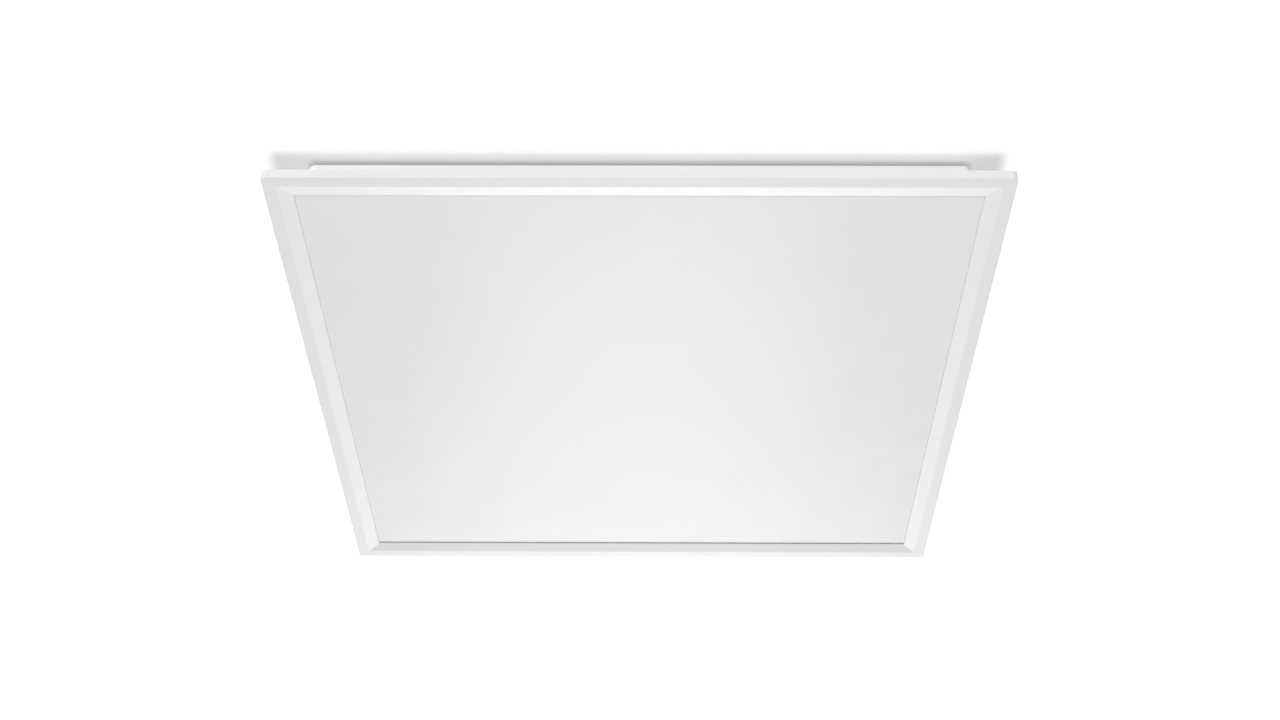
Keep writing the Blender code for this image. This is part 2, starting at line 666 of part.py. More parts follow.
def make_driver_pcb():
    half = PCB_HALF_WIDTH
    pcb = box("driver_pcb", (PCB_START, -half, PCB_BOTTOM), (PCB_END, half, PCB_TOP), PCB_GREEN)
    sunk = PCB_TOP - OVERLAP
    join(pcb, box("output_plug", (PCB_START, -6 * MM, sunk), (PCB_START + 9 * MM, 6 * MM, 58 * MM)))
    join(pcb, box("input_plug", (PCB_END - 8 * MM, -8 * MM, sunk), (PCB_END, 8 * MM, 59 * MM)))
    body = (SWITCH_X - 8 * MM, -half, sunk), (SWITCH_X + 8 * MM, -half + 6 * MM, SWITCH_Z + 4 * MM)
    join(pcb, box("switch_body", *body))
    reach = SWITCH_TRAVEL + 3 * MM
    low = (SWITCH_X - reach, -half - MM, SWITCH_Z - 2 * MM)
    cut(pcb, box("switch_channel", low, (SWITCH_X + reach, -half + 3.5 * MM, SWITCH_Z + 2 * MM)))


def make_driver_parts():
    """The large components on the driver's circuit board."""
    base = PARTS_BOTTOM
    core = box("transformer", (-46 * MM, -12 * MM, base), (-18 * MM, 14 * MM, base + 5 * MM), FERRITE)
    join(core, box("core_top", (-46 * MM, -12 * MM, base + 10 * MM), (-18 * MM, 14 * MM, base + 15 * MM)))
    join(core, box("winding", (-44 * MM, -9 * MM, base + 4 * MM), (-20 * MM, 11 * MM, base + 11 * MM)))
    bulk_radius = 7 * MM
    bulk_z = base + bulk_radius
    ends = 12 * MM
    bulk_profile = [(0, ends), (bulk_radius - MM, ends), (bulk_radius, ends - MM), (bulk_radius, -ends), (0, -ends)]
    turned("bulk_capacitor", bulk_profile, CAPACITOR_SLEEVE, (12 * MM, 12 * MM, bulk_z), (0, math.pi / 2, 0))
    tall = 15 * MM
    can = [(0, tall), (5.2 * MM, tall), (6.2 * MM, tall - MM), (6.2 * MM, 0), (0, 0)]
    turned("output_capacitor", can, CAPACITOR_SLEEVE, (-68 * MM, 14 * MM, base))
    ring, wound = 4.6 * MM, 2.9 * MM
    section = [(ring + wound * math.cos(a), wound * math.sin(a)) for a in [-k * math.pi / 4 for k in range(8)]]
    turned("input_choke", section, COPPER, (38 * MM, 16 * MM, base + ring + wound), (math.pi / 2, 0, 0), closed=True)
    sink = box("heat_sink", (-80 * MM, -28 * MM, base), (-46 * MM, -26 * MM, base + 14 * MM), ALUMINIUM)
    for fin in range(5):
        x = -80 * MM + fin * 8 * MM
        join(sink, box(f"fin_{fin}", (x, -26.4 * MM, base), (x + 2 * MM, -18 * MM, base + 14 * MM)))


def make_selector_slider():
    """The selector's slider, whose nib reaches out through the cover's window."""
    low = (SWITCH_X - 2 * MM, -BOX_HALF_WIDTH - 2 * MM, SWITCH_Z - 1.6 * MM)
    high = (SWITCH_X + 2 * MM, -PCB_HALF_WIDTH + 3 * MM, SWITCH_Z + 1.6 * MM)
    bevel(box("selector_slider", low, high, BLACK_PLASTIC), 0.3 * MM, 1)


def make_dc_lead():
    """The grommet in the tray, and the lead through it from the driver to the third LED board."""
    flange, neck, bore = 6 * MM, 4.2 * MM, DC_LEAD_RADIUS + GAP
    plate_low, plate_high = TRAY_TOP - TRAY_SHEET - GAP, TRAY_TOP + GAP
    section = [
        (bore, plate_high + 1.2 * MM),
        (flange - MM, plate_high + 1.2 * MM),
        (flange, plate_high + 0.4 * MM),
        (flange, plate_high),
        (neck, plate_high),
        (neck, plate_low),
        (flange, plate_low),
        (flange, plate_low - 0.6 * MM),
        (bore, plate_low - 0.6 * MM),
    ]
    turned("lead_grommet", section, RUBBER, (GROMMET_X, 0, 0), steps=14, closed=True)
    bend = 3 * MM
    corner = bend * (1 - math.sqrt(0.5))
    third_row = led_offsets()[2]
    route = [
        (PCB_START - GAP, 0, 54 * MM),
        (PCB_START - 3 * MM, 0, 54 * MM),
        (PCB_START - 8 * MM, 0, 52.6 * MM),
        (GROMMET_X - 0.6 * MM, 0, 48.5 * MM),
        (GROMMET_X, 0, 44 * MM),
        (GROMMET_X, 0, DC_LEAD_Z + bend),
        (GROMMET_X, -corner, DC_LEAD_Z + corner),
        (GROMMET_X, -bend, DC_LEAD_Z),
        (GROMMET_X, -20 * MM, DC_LEAD_Z - 0.4 * MM),
        (GROMMET_X, third_row + 3 * MM + GAP, DC_LEAD_Z),
    ]
    wire("dc_lead", route, DC_LEAD_RADIUS, WIRE_WHITE, 2.4 * MM)


# --- Wiring bay --------------------------------------------------------------------------------------
def make_wiring_lid():
    """The lid of the wiring bay. Its origin is on the hinge's axis."""
    origin = Vector((0, HINGE_Y, HINGE_Z))

    def part(name, low, high, material=None):
        obj = box(name, low, high, material)
        mesh = obj.data
        mesh.transform(Matrix.Translation(obj.location - origin))
        obj.location = origin
        return obj

    half = CARRIER_HALF_WIDTH
    start = BAY_START + 2.2 * MM
    bottom = BAY_TOP + GAP
    top = bottom + 2 * MM
    lid = part("wiring_lid", (start, -half, bottom), (BAY_END, half - GAP, top), LID_PLASTIC)
    bevel(lid, 0.6 * MM, 2)
    inner = half - CARRIER_WALL - GAP
    low_x, high_x = BAY_START + CARRIER_WALL + GAP, BAY_END - CARRIER_WALL - GAP
    skirt = part("lid_skirt", (low_x, -inner, bottom - 3 * MM), (high_x, inner, bottom + OVERLAP))
    skirt_wall = 1.4 * MM
    low = (low_x + skirt_wall, -inner + skirt_wall, bottom - 4 * MM)
    cut(skirt, part("skirt_hollow", low, (high_x - skirt_wall, inner - skirt_wall, bottom)))
    join(lid, skirt)
    knuckle_start, knuckle_end = LID_KNUCKLE
    bridge_low = (knuckle_start, half - 2 * MM, bottom)
    join(lid, part("lid_bridge", bridge_low, (knuckle_end, HINGE_Y, HINGE_Z + KNUCKLE_RADIUS - 0.2 * MM)))
    bm = bmesh.new()
    add_cylinder(bm, KNUCKLE_RADIUS, (knuckle_start, 0, 0), (knuckle_end, 0, 0))
    join(lid, add_bmesh("lid_knuckle", bm, None, origin))
    bm = bmesh.new()
    add_cylinder(bm, HINGE_PIN_RADIUS + GAP, (knuckle_start - MM, 0, 0), (knuckle_end + MM, 0, 0), 16)
    cut(lid, add_bmesh("lid_bore", bm, None, origin))
    tongue_out = half + 2.4 * MM
    join(lid, part("lid_tongue", (86 * MM, -tongue_out, 58 * MM), (100 * MM, -half - 0.6 * MM, top - 0.3 * MM)))
    join(lid, part("tongue_root", (86 * MM, -half - MM, bottom), (100 * MM, -half + MM, top - 0.3 * MM)))
    join(lid, part("tongue_lip", (86 * MM, -tongue_out - 2 * MM, 58 * MM), (100 * MM, -tongue_out + MM, 59.6 * MM)))


def make_hinge_pin():
    start, end = EAR_KNUCKLES[0][0] - MM, EAR_KNUCKLES[1][1] + MM
    length = end - start
    radius = HINGE_PIN_RADIUS
    head = 2.2 * MM
    profile = [(0, length + MM), (head, length + MM), (head, length), (radius, length), (radius, 0.4 * MM)]
    profile += [(radius - 0.4 * MM, 0), (0, 0)]
    turned("hinge_pin", profile, ZINC, (start, HINGE_Y, HINGE_Z), (0, math.pi / 2, 0), steps=16)


def pole_rows():
    return [(i - 1) * POLE_PITCH for i in range(3)]


def make_terminal_block():
    """The mains terminal block, with three wire holes and a pocket over each for its release button."""
    low_x, high_x, half = 68 * MM, 90 * MM, 15 * MM
    low = (low_x, -half, CARRIER_FLOOR_TOP + GAP)
    block = box("terminal_block", low, (high_x, half, BLOCK_TOP), TERMINAL_PLASTIC)
    bevel(block, 0.6 * MM, 1)
    pocket = BUTTON_SIZE / 2 + GAP
    bm = bmesh.new()
    for y in pole_rows():
        add_box(bm, (BUTTON_X - pocket, y - pocket, BUTTON_BOTTOM - 2.3 * MM), (BUTTON_X + pocket, y + pocket, 60 * MM))
    cut(block, add_bmesh("button_pockets", bm, None))
    entries = [((high_x - 9 * MM, y, 51 * MM), (high_x + MM, y, 51 * MM)) for y in pole_rows()]
    cut(block, cylinders("wire_holes", 1.9 * MM, entries, segments=16))


def make_release_buttons():
    half = BUTTON_SIZE / 2
    for number, y in enumerate(pole_rows(), 1):
        low = (BUTTON_X - half, y - half, BUTTON_BOTTOM)
        button = box(f"release_button_{number}", low, (BUTTON_X + half, y + half, BUTTON_TOP), BUTTON_ORANGE)
        bevel(button, 0.4 * MM, 2)


def make_cord_clamp():
    """The bar that holds the mains cable down on its saddle, with its two screws."""
    bottom = CLAMP_POST_TOP + GAP
    top = bottom + 3.6 * MM
    clamp = box("cord_clamp", (CLAMP_X - 4 * MM, -17 * MM, bottom), (CLAMP_X + 4 * MM, 17 * MM, top), CARRIER_PLASTIC)
    bevel(clamp, 0.8 * MM, 2)
    holes = [((CLAMP_X, s * CLAMP_POST_Y, bottom - MM), (CLAMP_X, s * CLAMP_POST_Y, top + MM)) for s in (-1, 1)]
    cut(clamp, cylinders("clamp_holes", 1.7 * MM, holes, segments=12))
    mesh = screw_mesh(2.8 * MM, 1.8 * MM, 1.3 * MM, 9 * MM)
    for number, side in enumerate((-1, 1), 1):
        add_object(f"clamp_screw_{number}", mesh, ZINC, (CLAMP_X, side * CLAMP_POST_Y, top + GAP))


def make_bay_wiring():
    """The mains lead through the partition, and the earth lead with its ring and screw."""
    z = 54 * MM
    start, end = PCB_END + GAP, 68 * MM - GAP
    route = [(start, 0, z), (start + 3 * MM, 0, z - 0.3 * MM), (end - 3 * MM, 0, z - 0.3 * MM), (end, 0, z)]
    wire("mains_lead", route, 1.5 * MM, WIRE_WHITE)
    tongue_bottom = TRAY_TOP + GAP
    tongue_top = tongue_bottom + 0.8 * MM
    lead_radius = MM
    lead_z = tongue_top + lead_radius - OVERLAP
    route = [
        (EARTH_X, EARTH_Y + 4.6 * MM, lead_z),
        (EARTH_X, EARTH_Y + 5.8 * MM, lead_z + 0.9 * MM),
        (EARTH_X, -18.5 * MM, 47 * MM),
        (EARTH_X, -15 * MM - GAP, 48 * MM),
    ]
    lead = wire("earth_lead", route, lead_radius, WIRE_EARTH, 1.5 * MM)
    ring = [(4.2 * MM, tongue_top), (4.2 * MM, tongue_bottom), (2.1 * MM, tongue_bottom), (2.1 * MM, tongue_top)]
    join(lead, turned("ring_tongue", ring, None, (EARTH_X, EARTH_Y, 0), closed=True))
    low = (EARTH_X - 1.6 * MM, EARTH_Y + 3.4 * MM, tongue_bottom)
    join(lead, box("tongue_neck", low, (EARTH_X + 1.6 * MM, EARTH_Y + 5.4 * MM, tongue_top)))
    mesh = screw_mesh(3.6 * MM, 2.4 * MM, 1.7 * MM, 5.2 * MM)
    add_object("earth_screw", mesh, ZINC, (EARTH_X, EARTH_Y, tongue_top + GAP))


# --- Grid clips and label ----------------------------------------------------------------------------
def clip_mesh():
    """A swing-out clip: a flat arm along +X from its pivot at the origin, with a finger tab turned up at its end."""
    half_width = CLIP_WIDTH / 2
    tail = 9 * MM
    centre = (CLIP_LENGTH - tail) / 2
    bm = bmesh.new()
    rings = [rounded_ring((CLIP_LENGTH + tail) / 2, half_width, half_width - 2 * MM, z) for z in (0, CLIP_SHEET)]
    add_loft(bm, rings, matrix=Matrix.Translation((centre, 0, 0)))
    arm = add_bmesh("arm", bm, ZINC)
    tab_low = (CLIP_LENGTH - CLIP_SHEET, -half_width + 4.5 * MM, 0)
    tab_high = (CLIP_LENGTH, half_width - 4.5 * MM, CLIP_SHEET + CLIP_TAB_HEIGHT)
    join(arm, box("finger_tab", tab_low, tab_high))
    hole = [((0, 0, -MM), (0, 0, CLIP_SHEET + MM))]
    cut(arm, cylinders("pivot_hole", RIVET_RADIUS + GAP, hole, segments=20))
    return baked_mesh(arm)


def make_grid_clips():
    """Four clips that swing out over the ceiling grid, parked along the tray's edges, each on its rivet."""
    mesh = clip_mesh()
    head_bottom = CLIP_SHEET + GAP
    head_top = head_bottom + 1.6 * MM
    closed_end = -(CLIP_BOTTOM - TRAY_TOP) - TRAY_SHEET - GAP
    profile = [
        (0, head_top),
        (2.6 * MM, head_top - 0.2 * MM),
        (4 * MM, head_bottom + 0.5 * MM),
        (4 * MM, head_bottom),
        (RIVET_RADIUS, head_bottom),
        (RIVET_RADIUS, closed_end),
        (3.2 * MM, closed_end),
        (3.2 * MM, closed_end - 0.8 * MM),
        (0, closed_end - 1.2 * MM),
    ]
    rivet = baked_mesh(turned("rivet", profile, ALUMINIUM, steps=12))
    for number, sx, sy in clip_places():
        place = (sx * CLIP_PIVOT_X, sy * CLIP_PIVOT_Y, CLIP_BOTTOM)
        add_object(f"grid_clip_{number}", mesh, ZINC, place, (0, 0, 0 if sx < 0 else math.pi))
        add_object(f"clip_rivet_{number}", rivet, ALUMINIUM, place)


def make_rating_label():
    bm = bmesh.new()
    rings = [rounded_ring(36 * MM, 24 * MM, 2 * MM, z) for z in (0, 0.2 * MM)]
    add_loft(bm, rings)
    add_bmesh("rating_label", bm, LABEL_SILVER, (-196 * MM, 0, TRAY_TOP + GAP))


def main():
    make_front_frame()
    make_diffuser()
    make_rear_tray()
    make_rim_screws()
    make_reflector_foil()
    make_led_boards()
    make_jumper_leads()
    make_driver_carrier()
    make_driver_cover()
    make_cover_screws()
    make_driver_pcb()
    make_driver_parts()
    make_selector_slider()
    make_dc_lead()
    make_wiring_lid()
    make_hinge_pin()
    make_terminal_block()
    make_release_buttons()
    make_cord_clamp()
    make_bay_wiring()
    make_grid_clips()
    make_rating_label()


main()
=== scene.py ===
"""The looks of the recessed LED ceiling panel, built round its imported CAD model.

Metres, in the CAD's frame: the frame's flat rim is at z = 0 and faces down, +Z is up into the ceiling void,
and -Y is the edge nearest to the camera.
"""

import json
import math

import bmesh
import bpy
from mathutils import Matrix, Vector


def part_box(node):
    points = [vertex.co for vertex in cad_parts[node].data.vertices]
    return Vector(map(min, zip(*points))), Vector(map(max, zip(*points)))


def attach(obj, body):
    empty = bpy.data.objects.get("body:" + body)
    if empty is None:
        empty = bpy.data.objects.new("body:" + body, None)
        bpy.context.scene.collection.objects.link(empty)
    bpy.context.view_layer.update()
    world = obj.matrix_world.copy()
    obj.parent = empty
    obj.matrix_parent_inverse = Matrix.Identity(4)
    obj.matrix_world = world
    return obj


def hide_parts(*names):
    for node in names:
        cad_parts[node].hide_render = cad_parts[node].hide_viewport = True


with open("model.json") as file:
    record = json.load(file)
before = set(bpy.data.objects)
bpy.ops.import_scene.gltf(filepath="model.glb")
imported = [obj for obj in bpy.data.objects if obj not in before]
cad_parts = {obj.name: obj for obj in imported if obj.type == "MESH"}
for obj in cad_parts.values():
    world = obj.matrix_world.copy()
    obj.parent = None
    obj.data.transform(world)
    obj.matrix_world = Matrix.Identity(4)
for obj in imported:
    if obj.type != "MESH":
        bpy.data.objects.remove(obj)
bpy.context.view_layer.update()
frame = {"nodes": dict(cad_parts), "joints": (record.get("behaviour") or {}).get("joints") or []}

MM = 0.001
SCENE = bpy.context.scene
BASE = "panel"
UP = Vector((0, 0, 1))

frame_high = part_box("front_frame")[1]
tray_low, tray_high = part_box("rear_tray")
cover_low, cover_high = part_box("driver_cover")
carrier_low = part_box("driver_carrier")[0]

HALF = frame_high.x  # half of the panel's side
WINDOW_INSET = 22.6 * MM  # from the frame's edge to its window
TRAY_INSET = 29.5 * MM  # from the frame's edge to the tray's top edge
TRAY_SHEET = 0.8 * MM
BEAD_HEIGHT = 1.5 * MM
FLANGE_TOP = tray_low.z + TRAY_SHEET
TRAY_TOP = tray_high.z - BEAD_HEIGHT
DIFFUSER_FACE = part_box("diffuser_plate")[0].z


# --- Materials ---------------------------------------------------------------------------------------
class Nodes:
    """A short way to add and link shader nodes."""

    def __init__(self, name):
        self.material = bpy.data.materials.new(name)
        self.material.use_nodes = True
        self.tree = self.material.node_tree
        self.shader = self.tree.nodes["Principled BSDF"]
        self.place = self.tree.nodes.new("ShaderNodeTexCoord").outputs["Object"]

    def add(self, kind, settings=None, **inputs):
        node = self.tree.nodes.new(f"ShaderNode{kind}")
        for key, value in (settings or {}).items():
            setattr(node, key, value)
        for key, value in inputs.items():
            self.put(node, key.replace("_", " "), value)
        return node

    def put(self, node, socket, value):
        target = node.inputs[socket]
        if isinstance(value, bpy.types.NodeSocket):
            self.tree.links.new(value, target)
        else:
            target.default_value = value

    def stretched(self, scale):
        mapping = self.add("Mapping", Vector=self.place)
        mapping.inputs["Scale"].default_value = scale
        return mapping.outputs["Vector"]

    def noise(self, scale, detail=3.0, roughness=0.55, stretch=None):
        vector = self.stretched(stretch) if stretch else self.place
        node = self.add("TexNoise", Vector=vector, Scale=scale, Detail=detail, Roughness=roughness)
        return node.outputs["Fac"]

    def remap(self, value, low, high, from_low=0.3, from_high=0.7):
        """Spreads the range from_low to from_high over low to high, and holds the ends outside it."""
        node = self.add("MapRange", Value=value)
        limits = {"From Min": from_low, "From Max": from_high, "To Min": low, "To Max": high}
        for socket, number in limits.items():
            node.inputs[socket].default_value = number
        return node.outputs["Result"]

    def mix(self, share, first, second):
        node = self.add("Mix", {"data_type": "RGBA"})
        self.put(node, 0, share)
        for index, value in ((6, first), (7, second)):
            socket = node.inputs[index]
            if isinstance(value, bpy.types.NodeSocket):
                self.tree.links.new(value, socket)
            else:
                socket.default_value = (*value, 1)
        return node.outputs[2]

    def math(self, operation, first, second=0.0, third=None):
        node = self.add("Math", {"operation": operation})
        self.put(node, 0, first)
        self.put(node, 1, second)
        if third is not None:
            self.put(node, 2, third)
        return node.outputs[0]

    def axes(self):
        parts = self.add("SeparateXYZ", Vector=self.place)
        return [parts.outputs[axis] for axis in "XYZ"]

    def within(self, value, low, high):
        """1 where value is between low and high."""
        above = self.math("GREATER_THAN", value, low)
        return self.math("MULTIPLY", above, self.math("LESS_THAN", value, high))

    def distance(self, value, place):
        return self.math("ABSOLUTE", self.math("SUBTRACT", value, place))

    def bump(self, height, strength, distance):
        node = self.add("Bump", Height=height, Strength=strength, Distance=distance)
        return node.outputs["Normal"]

    def overlay(self, share, colour):
        """Lays a colour over the base colour where share is 1."""
        under = self.shader.inputs["Base Color"].links[0].from_socket
        self.put(self.shader, "Base Color", self.mix(share, under, colour))


def tinted(colour, share):
    return tuple(min(1, c * share) for c in colour)


def coated(name, colour, roughness, mottle=0.02, grain=900, grain_strength=0.08, grain_depth=0.06 * MM,
           metallic=0.0, brush=None, roughness_range=0.06):
    """A painted, moulded or plated surface: faint blotches, and a fine grain in its relief.

    mottle is how much the blotches change the colour. brush stretches the grain along an axis.
    """
    n = Nodes(name)
    shader = n.shader
    blotches = n.noise(14, 3)
    fine = n.noise(grain, 2, stretch=brush)
    colours = n.mix(n.remap(blotches, 0, 1), tinted(colour, 1 - mottle), tinted(colour, 1 + mottle))
    n.put(shader, "Base Color", colours)
    low, high = max(0.02, roughness - roughness_range), min(1, roughness + roughness_range)
    n.put(shader, "Roughness", n.remap(n.noise(60, 4), low, high))
    n.put(shader, "Normal", n.bump(fine, grain_strength, grain_depth))
    shader.inputs["Metallic"].default_value = metallic
    return n


def coat(*arguments, **settings):
    """A coated material with nothing laid over it."""
    return coated(*arguments, **settings).material


def frame_material():
    """Satin white moulding. Its near and far lips are painted dark and uneven at the diffuser, a painted
    shadow for the gap there; its side lips are painted a touch lighter, as painted light.
    """
    n = coated("frame_satin_white", (0.86, 0.858, 0.85), 0.42, mottle=0.008, grain=1400, grain_strength=0.05)
    x, y, z = n.axes()
    off_x, off_y = n.math("ABSOLUTE", x), n.math("ABSOLUTE", y)
    lip_shade_height, lip_depth = 0.9 * MM, 1.2 * MM
    at_diffuser = n.within(z, DIFFUSER_FACE - lip_shade_height, DIFFUSER_FACE)
    at_window = n.math("LESS_THAN", n.math("MAXIMUM", off_x, off_y), HALF - WINDOW_INSET + lip_depth)
    # painted shade: a dark, uneven strip on the near and far lips just under the diffuser stands in for the
    # shadow gap there
    lip_painted_shade = n.mix(n.remap(n.noise(160, 4), 0, 1), (0.08, 0.08, 0.08), (0.14, 0.14, 0.14))
    # painted light: the side lips get a colour a touch lighter than the moulding, against the shade that
    # falls there
    near_or_far = n.math("GREATER_THAN", off_y, off_x)
    n.overlay(n.math("MULTIPLY", at_diffuser, at_window), n.mix(near_or_far, (0.88, 0.88, 0.87), lip_painted_shade))
    return n.material


def diffuser_material():
    """Opal sheet with a fine frosted face: smooth to the eye, cool white, with a faint satin gloss."""
    n = Nodes("diffuser_opal")
    shader = n.shader
    clouds = n.noise(5, 2)
    n.put(shader, "Base Color", n.mix(n.remap(clouds, 0, 1), (0.842, 0.862, 0.852), (0.858, 0.872, 0.864)))
    n.put(shader, "Roughness", n.remap(n.noise(24, 3), 0.3, 0.36))
    frost = n.noise(2200, 2)
    n.put(shader, "Normal", n.bump(frost, 0.04, 0.03 * MM))
    shader.inputs["IOR"].default_value = 1.49
    return n.material


def powder_coat(name, colour, wear):
    """Powder coat on pressed steel: an orange-peel relief, and scuffs on its edges as strong as wear."""
    n = coated(name, colour, 0.46, mottle=0.018, grain=620, grain_strength=0.16, grain_depth=0.09 * MM)
    bevelled = n.add("Bevel", {"samples": 4}, Radius=0.9 * MM)
    geometry = n.add("NewGeometry")
    facing = n.add("VectorMath", {"operation": "DOT_PRODUCT"})
    n.put(facing, 0, bevelled.outputs["Normal"])
    n.put(facing, 1, geometry.outputs["Normal"])
    edges = n.remap(facing.outputs["Value"], 1, 0, 0.86, 0.995)
    scuffs = n.remap(n.noise(240, 5, 0.7), 0, 1, 0.52, 0.66)
    n.overlay(n.math("MULTIPLY", n.math("MULTIPLY", edges, scuffs), wear), (0.5, 0.5, 0.49))
    return n.material


def label_material():
    """Silver foil label with a printed frame and empty fields, and no lettering."""
    n = coated("label_foil", (0.74, 0.745, 0.75), 0.34, mottle=0.02, grain=300, brush=(1, 12, 1))
    low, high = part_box("rating_label")
    margin, line, row_place, column_place = 2.5 * MM, 0.45 * MM, 7.5 * MM, 24 * MM
    x, y, _ = n.axes()
    off_x = n.distance(x, (low.x + high.x) / 2)
    off_y = n.distance(y, (low.y + high.y) / 2)

    def field(inset):
        inside_x = n.math("LESS_THAN", off_x, (high.x - low.x) / 2 - inset)
        inside_y = n.math("LESS_THAN", off_y, (high.y - low.y) / 2 - inset)
        return n.math("MULTIPLY", inside_x, inside_y)

    border = n.math("SUBTRACT", field(margin), field(margin + line))
    rows = n.math("LESS_THAN", n.distance(off_y, row_place), line / 2)
    column = n.math("LESS_THAN", n.distance(x, low.x + column_place), line / 2)
    rules = n.math("MULTIPLY", field(margin), n.math("MAXIMUM", rows, column))
    n.overlay(n.math("MAXIMUM", border, rules), (0.06, 0.06, 0.065))
    return n.material


def zinc_material(name, colour, brush):
    """Bright zinc plate over stamped or turned steel, with a faint yellow passivation in patches."""
    n = coated(name, colour, 0.42, mottle=0.06, grain=420, grain_strength=0.02, grain_depth=0.01 * MM,
               metallic=1.0, brush=brush, roughness_range=0.1)
    n.overlay(n.remap(n.noise(90, 3), 0, 0.5, 0.5, 0.7), (0.665, 0.627, 0.494))
    return n.material


def board_material():
    """White solder mask, and lenses through which the chips show yellow."""
    n = coated("led_board_mask", (0.86, 0.86, 0.83), 0.38, mottle=0.01, grain=500)
    lens_bottom, lens_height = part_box("led_board_1")[0].z, 6.2 * MM
    lens = n.math("LESS_THAN", n.axes()[2], lens_bottom + lens_height)
    n.overlay(lens, n.mix(n.remap(n.noise(180, 2), 0, 1), (0.9, 0.86, 0.62), (0.93, 0.91, 0.8)))
    return n.material


def winding_material():
    """Enamelled copper wire, wound close: fine ridges round the core."""
    n = coated("copper_windings", (0.62, 0.27, 0.11), 0.3, mottle=0.08, metallic=1.0)
    waves = n.add("TexWave", {"bands_direction": "DIAGONAL"}, Vector=n.place, Scale=420.0, Distortion=0.4)
    n.put(n.shader, "Normal", n.bump(waves.outputs["Fac"], 0.6, 0.3 * MM))
    return n.material


def earth_wire_material():
    """Green insulation with a yellow stripe that runs round it."""
    n = coated("earth_insulation", (0.12, 0.42, 0.1), 0.45, mottle=0.03)
    x, y, z = n.axes()
    spiral = n.math("FRACT", n.math("MULTIPLY", n.math("ADD", n.math("ADD", x, y), z), 160))
    n.overlay(n.math("LESS_THAN", spiral, 0.38), (0.78, 0.7, 0.08))
    return n.material


def pcb_material():
    """Green solder mask over faint tracks."""
    n = coated("pcb_mask", (0.05, 0.25, 0.1), 0.3, mottle=0.05, grain=300)
    wander = n.math("MULTIPLY", n.noise(22, 0), 0.02)
    tracks = n.math("FRACT", n.math("MULTIPLY", n.math("ADD", n.axes()[1], wander), 260))
    n.overlay(n.math("LESS_THAN", tracks, 0.3), (0.09, 0.34, 0.14))
    return n.material


WHITE_FRAME = frame_material()
OPAL = diffuser_material()
TRAY_WHITE = powder_coat("tray_powder_coat", (0.83, 0.83, 0.82), 0.5)
COVER_WHITE = powder_coat("cover_powder_coat", (0.8, 0.8, 0.79), 0.8)
ZINC = zinc_material("zinc_turned", (0.66, 0.67, 0.69), (1, 1, 6))
ZINC_SHEET = zinc_material("zinc_sheet", (0.63, 0.64, 0.66), (1, 9, 9))
RIVET_METAL = coat("rivet_aluminium", (0.78, 0.785, 0.79), 0.3, mottle=0.03, metallic=1.0)
SINK_METAL = coat("heat_sink_aluminium", (0.72, 0.73, 0.74), 0.38, mottle=0.03, metallic=1.0, brush=(1, 1, 8))
BAY_WHITE = coat("bay_moulding", (0.78, 0.78, 0.755), 0.5, grain=1100, grain_strength=0.16)
LID_GREY = coat("lid_moulding", (0.5, 0.512, 0.53), 0.48, mottle=0.025, grain=1000, grain_strength=0.2)
BLOCK_GREY = coat("terminal_moulding", (0.74, 0.75, 0.74), 0.34, grain=800)
BUTTON_ORANGE = coat("button_moulding", (0.9, 0.31, 0.05), 0.34, mottle=0.03)
SLIDER_BLACK = coat("slider_moulding", (0.03, 0.03, 0.032), 0.42, mottle=0.1)
SLEEVE = coat("capacitor_film", (0.03, 0.04, 0.075), 0.28, mottle=0.08, grain=300)
FERRITE = coat("ferrite_core", (0.085, 0.085, 0.09), 0.62, mottle=0.12, grain=500, grain_strength=0.35)
RUBBER = coat("grommet_rubber", (0.05, 0.05, 0.05), 0.75, mottle=0.12, grain=700, grain_strength=0.3)
FOIL = coat("reflector_film", (0.92, 0.92, 0.915), 0.35, mottle=0.01, grain=500)
WIRE_WHITE = coat("wire_insulation", (0.84, 0.84, 0.82), 0.45, mottle=0.02, grain=600)
WIRE_EARTH = earth_wire_material()
LABEL = label_material()
BOARD = board_material()
COPPER = winding_material()
PCB = pcb_material()


# --- Shapes ------------------------------------------------------------------------------------------
def rounded_ring(half_x, half_y, radius, z, steps=10, centre=(0, 0)):
    """The points of a rounded rectangle at height z, anticlockwise from +X."""
    points = []
    for quarter in range(4):
        sign_x = 1 if quarter in (0, 3) else -1
        sign_y = 1 if quarter in (0, 1) else -1
        middle_x = centre[0] + sign_x * (half_x - radius)
        middle_y = centre[1] + sign_y * (half_y - radius)
        for step in range(steps + 1):
            angle = math.pi / 2 * (quarter + step / steps)
            points.append((middle_x + radius * math.cos(angle), middle_y + radius * math.sin(angle), z))
    return points


def filleted(profile, fillets, closed=False):
    """The profile with an arc at each point that fillets names, as {index: (radius, steps)}."""
    count = len(profile)
    result = []
    for i, point in enumerate(profile):
        radius, steps = fillets.get(i, (0, 0))
        is_corner = closed or 0 < i < count - 1
        if not radius or not is_corner:
            result.append(tuple(point))
            continue
        here = Vector(point)
        before = (Vector(profile[i - 1]) - here).normalized()
        after = (Vector(profile[(i + 1) % count]) - here).normalized()
        half_angle = before.angle(after) / 2
        reach = radius / math.tan(half_angle)
        centre = here + (before + after).normalized() * (radius / math.sin(half_angle))
        start, end = here + before * reach - centre, here + after * reach - centre
        turn = start.angle_signed(end)
        for step in range(steps + 1):
            angle = -turn * step / steps
            cos, sin = math.cos(angle), math.sin(angle)
            x, y = start.x * cos - start.y * sin, start.x * sin + start.y * cos
            result.append((centre.x + x, centre.y + y))
    return result


def middle(low, high):
    return [(a + b) / 2 for a, b in zip(low, high)]


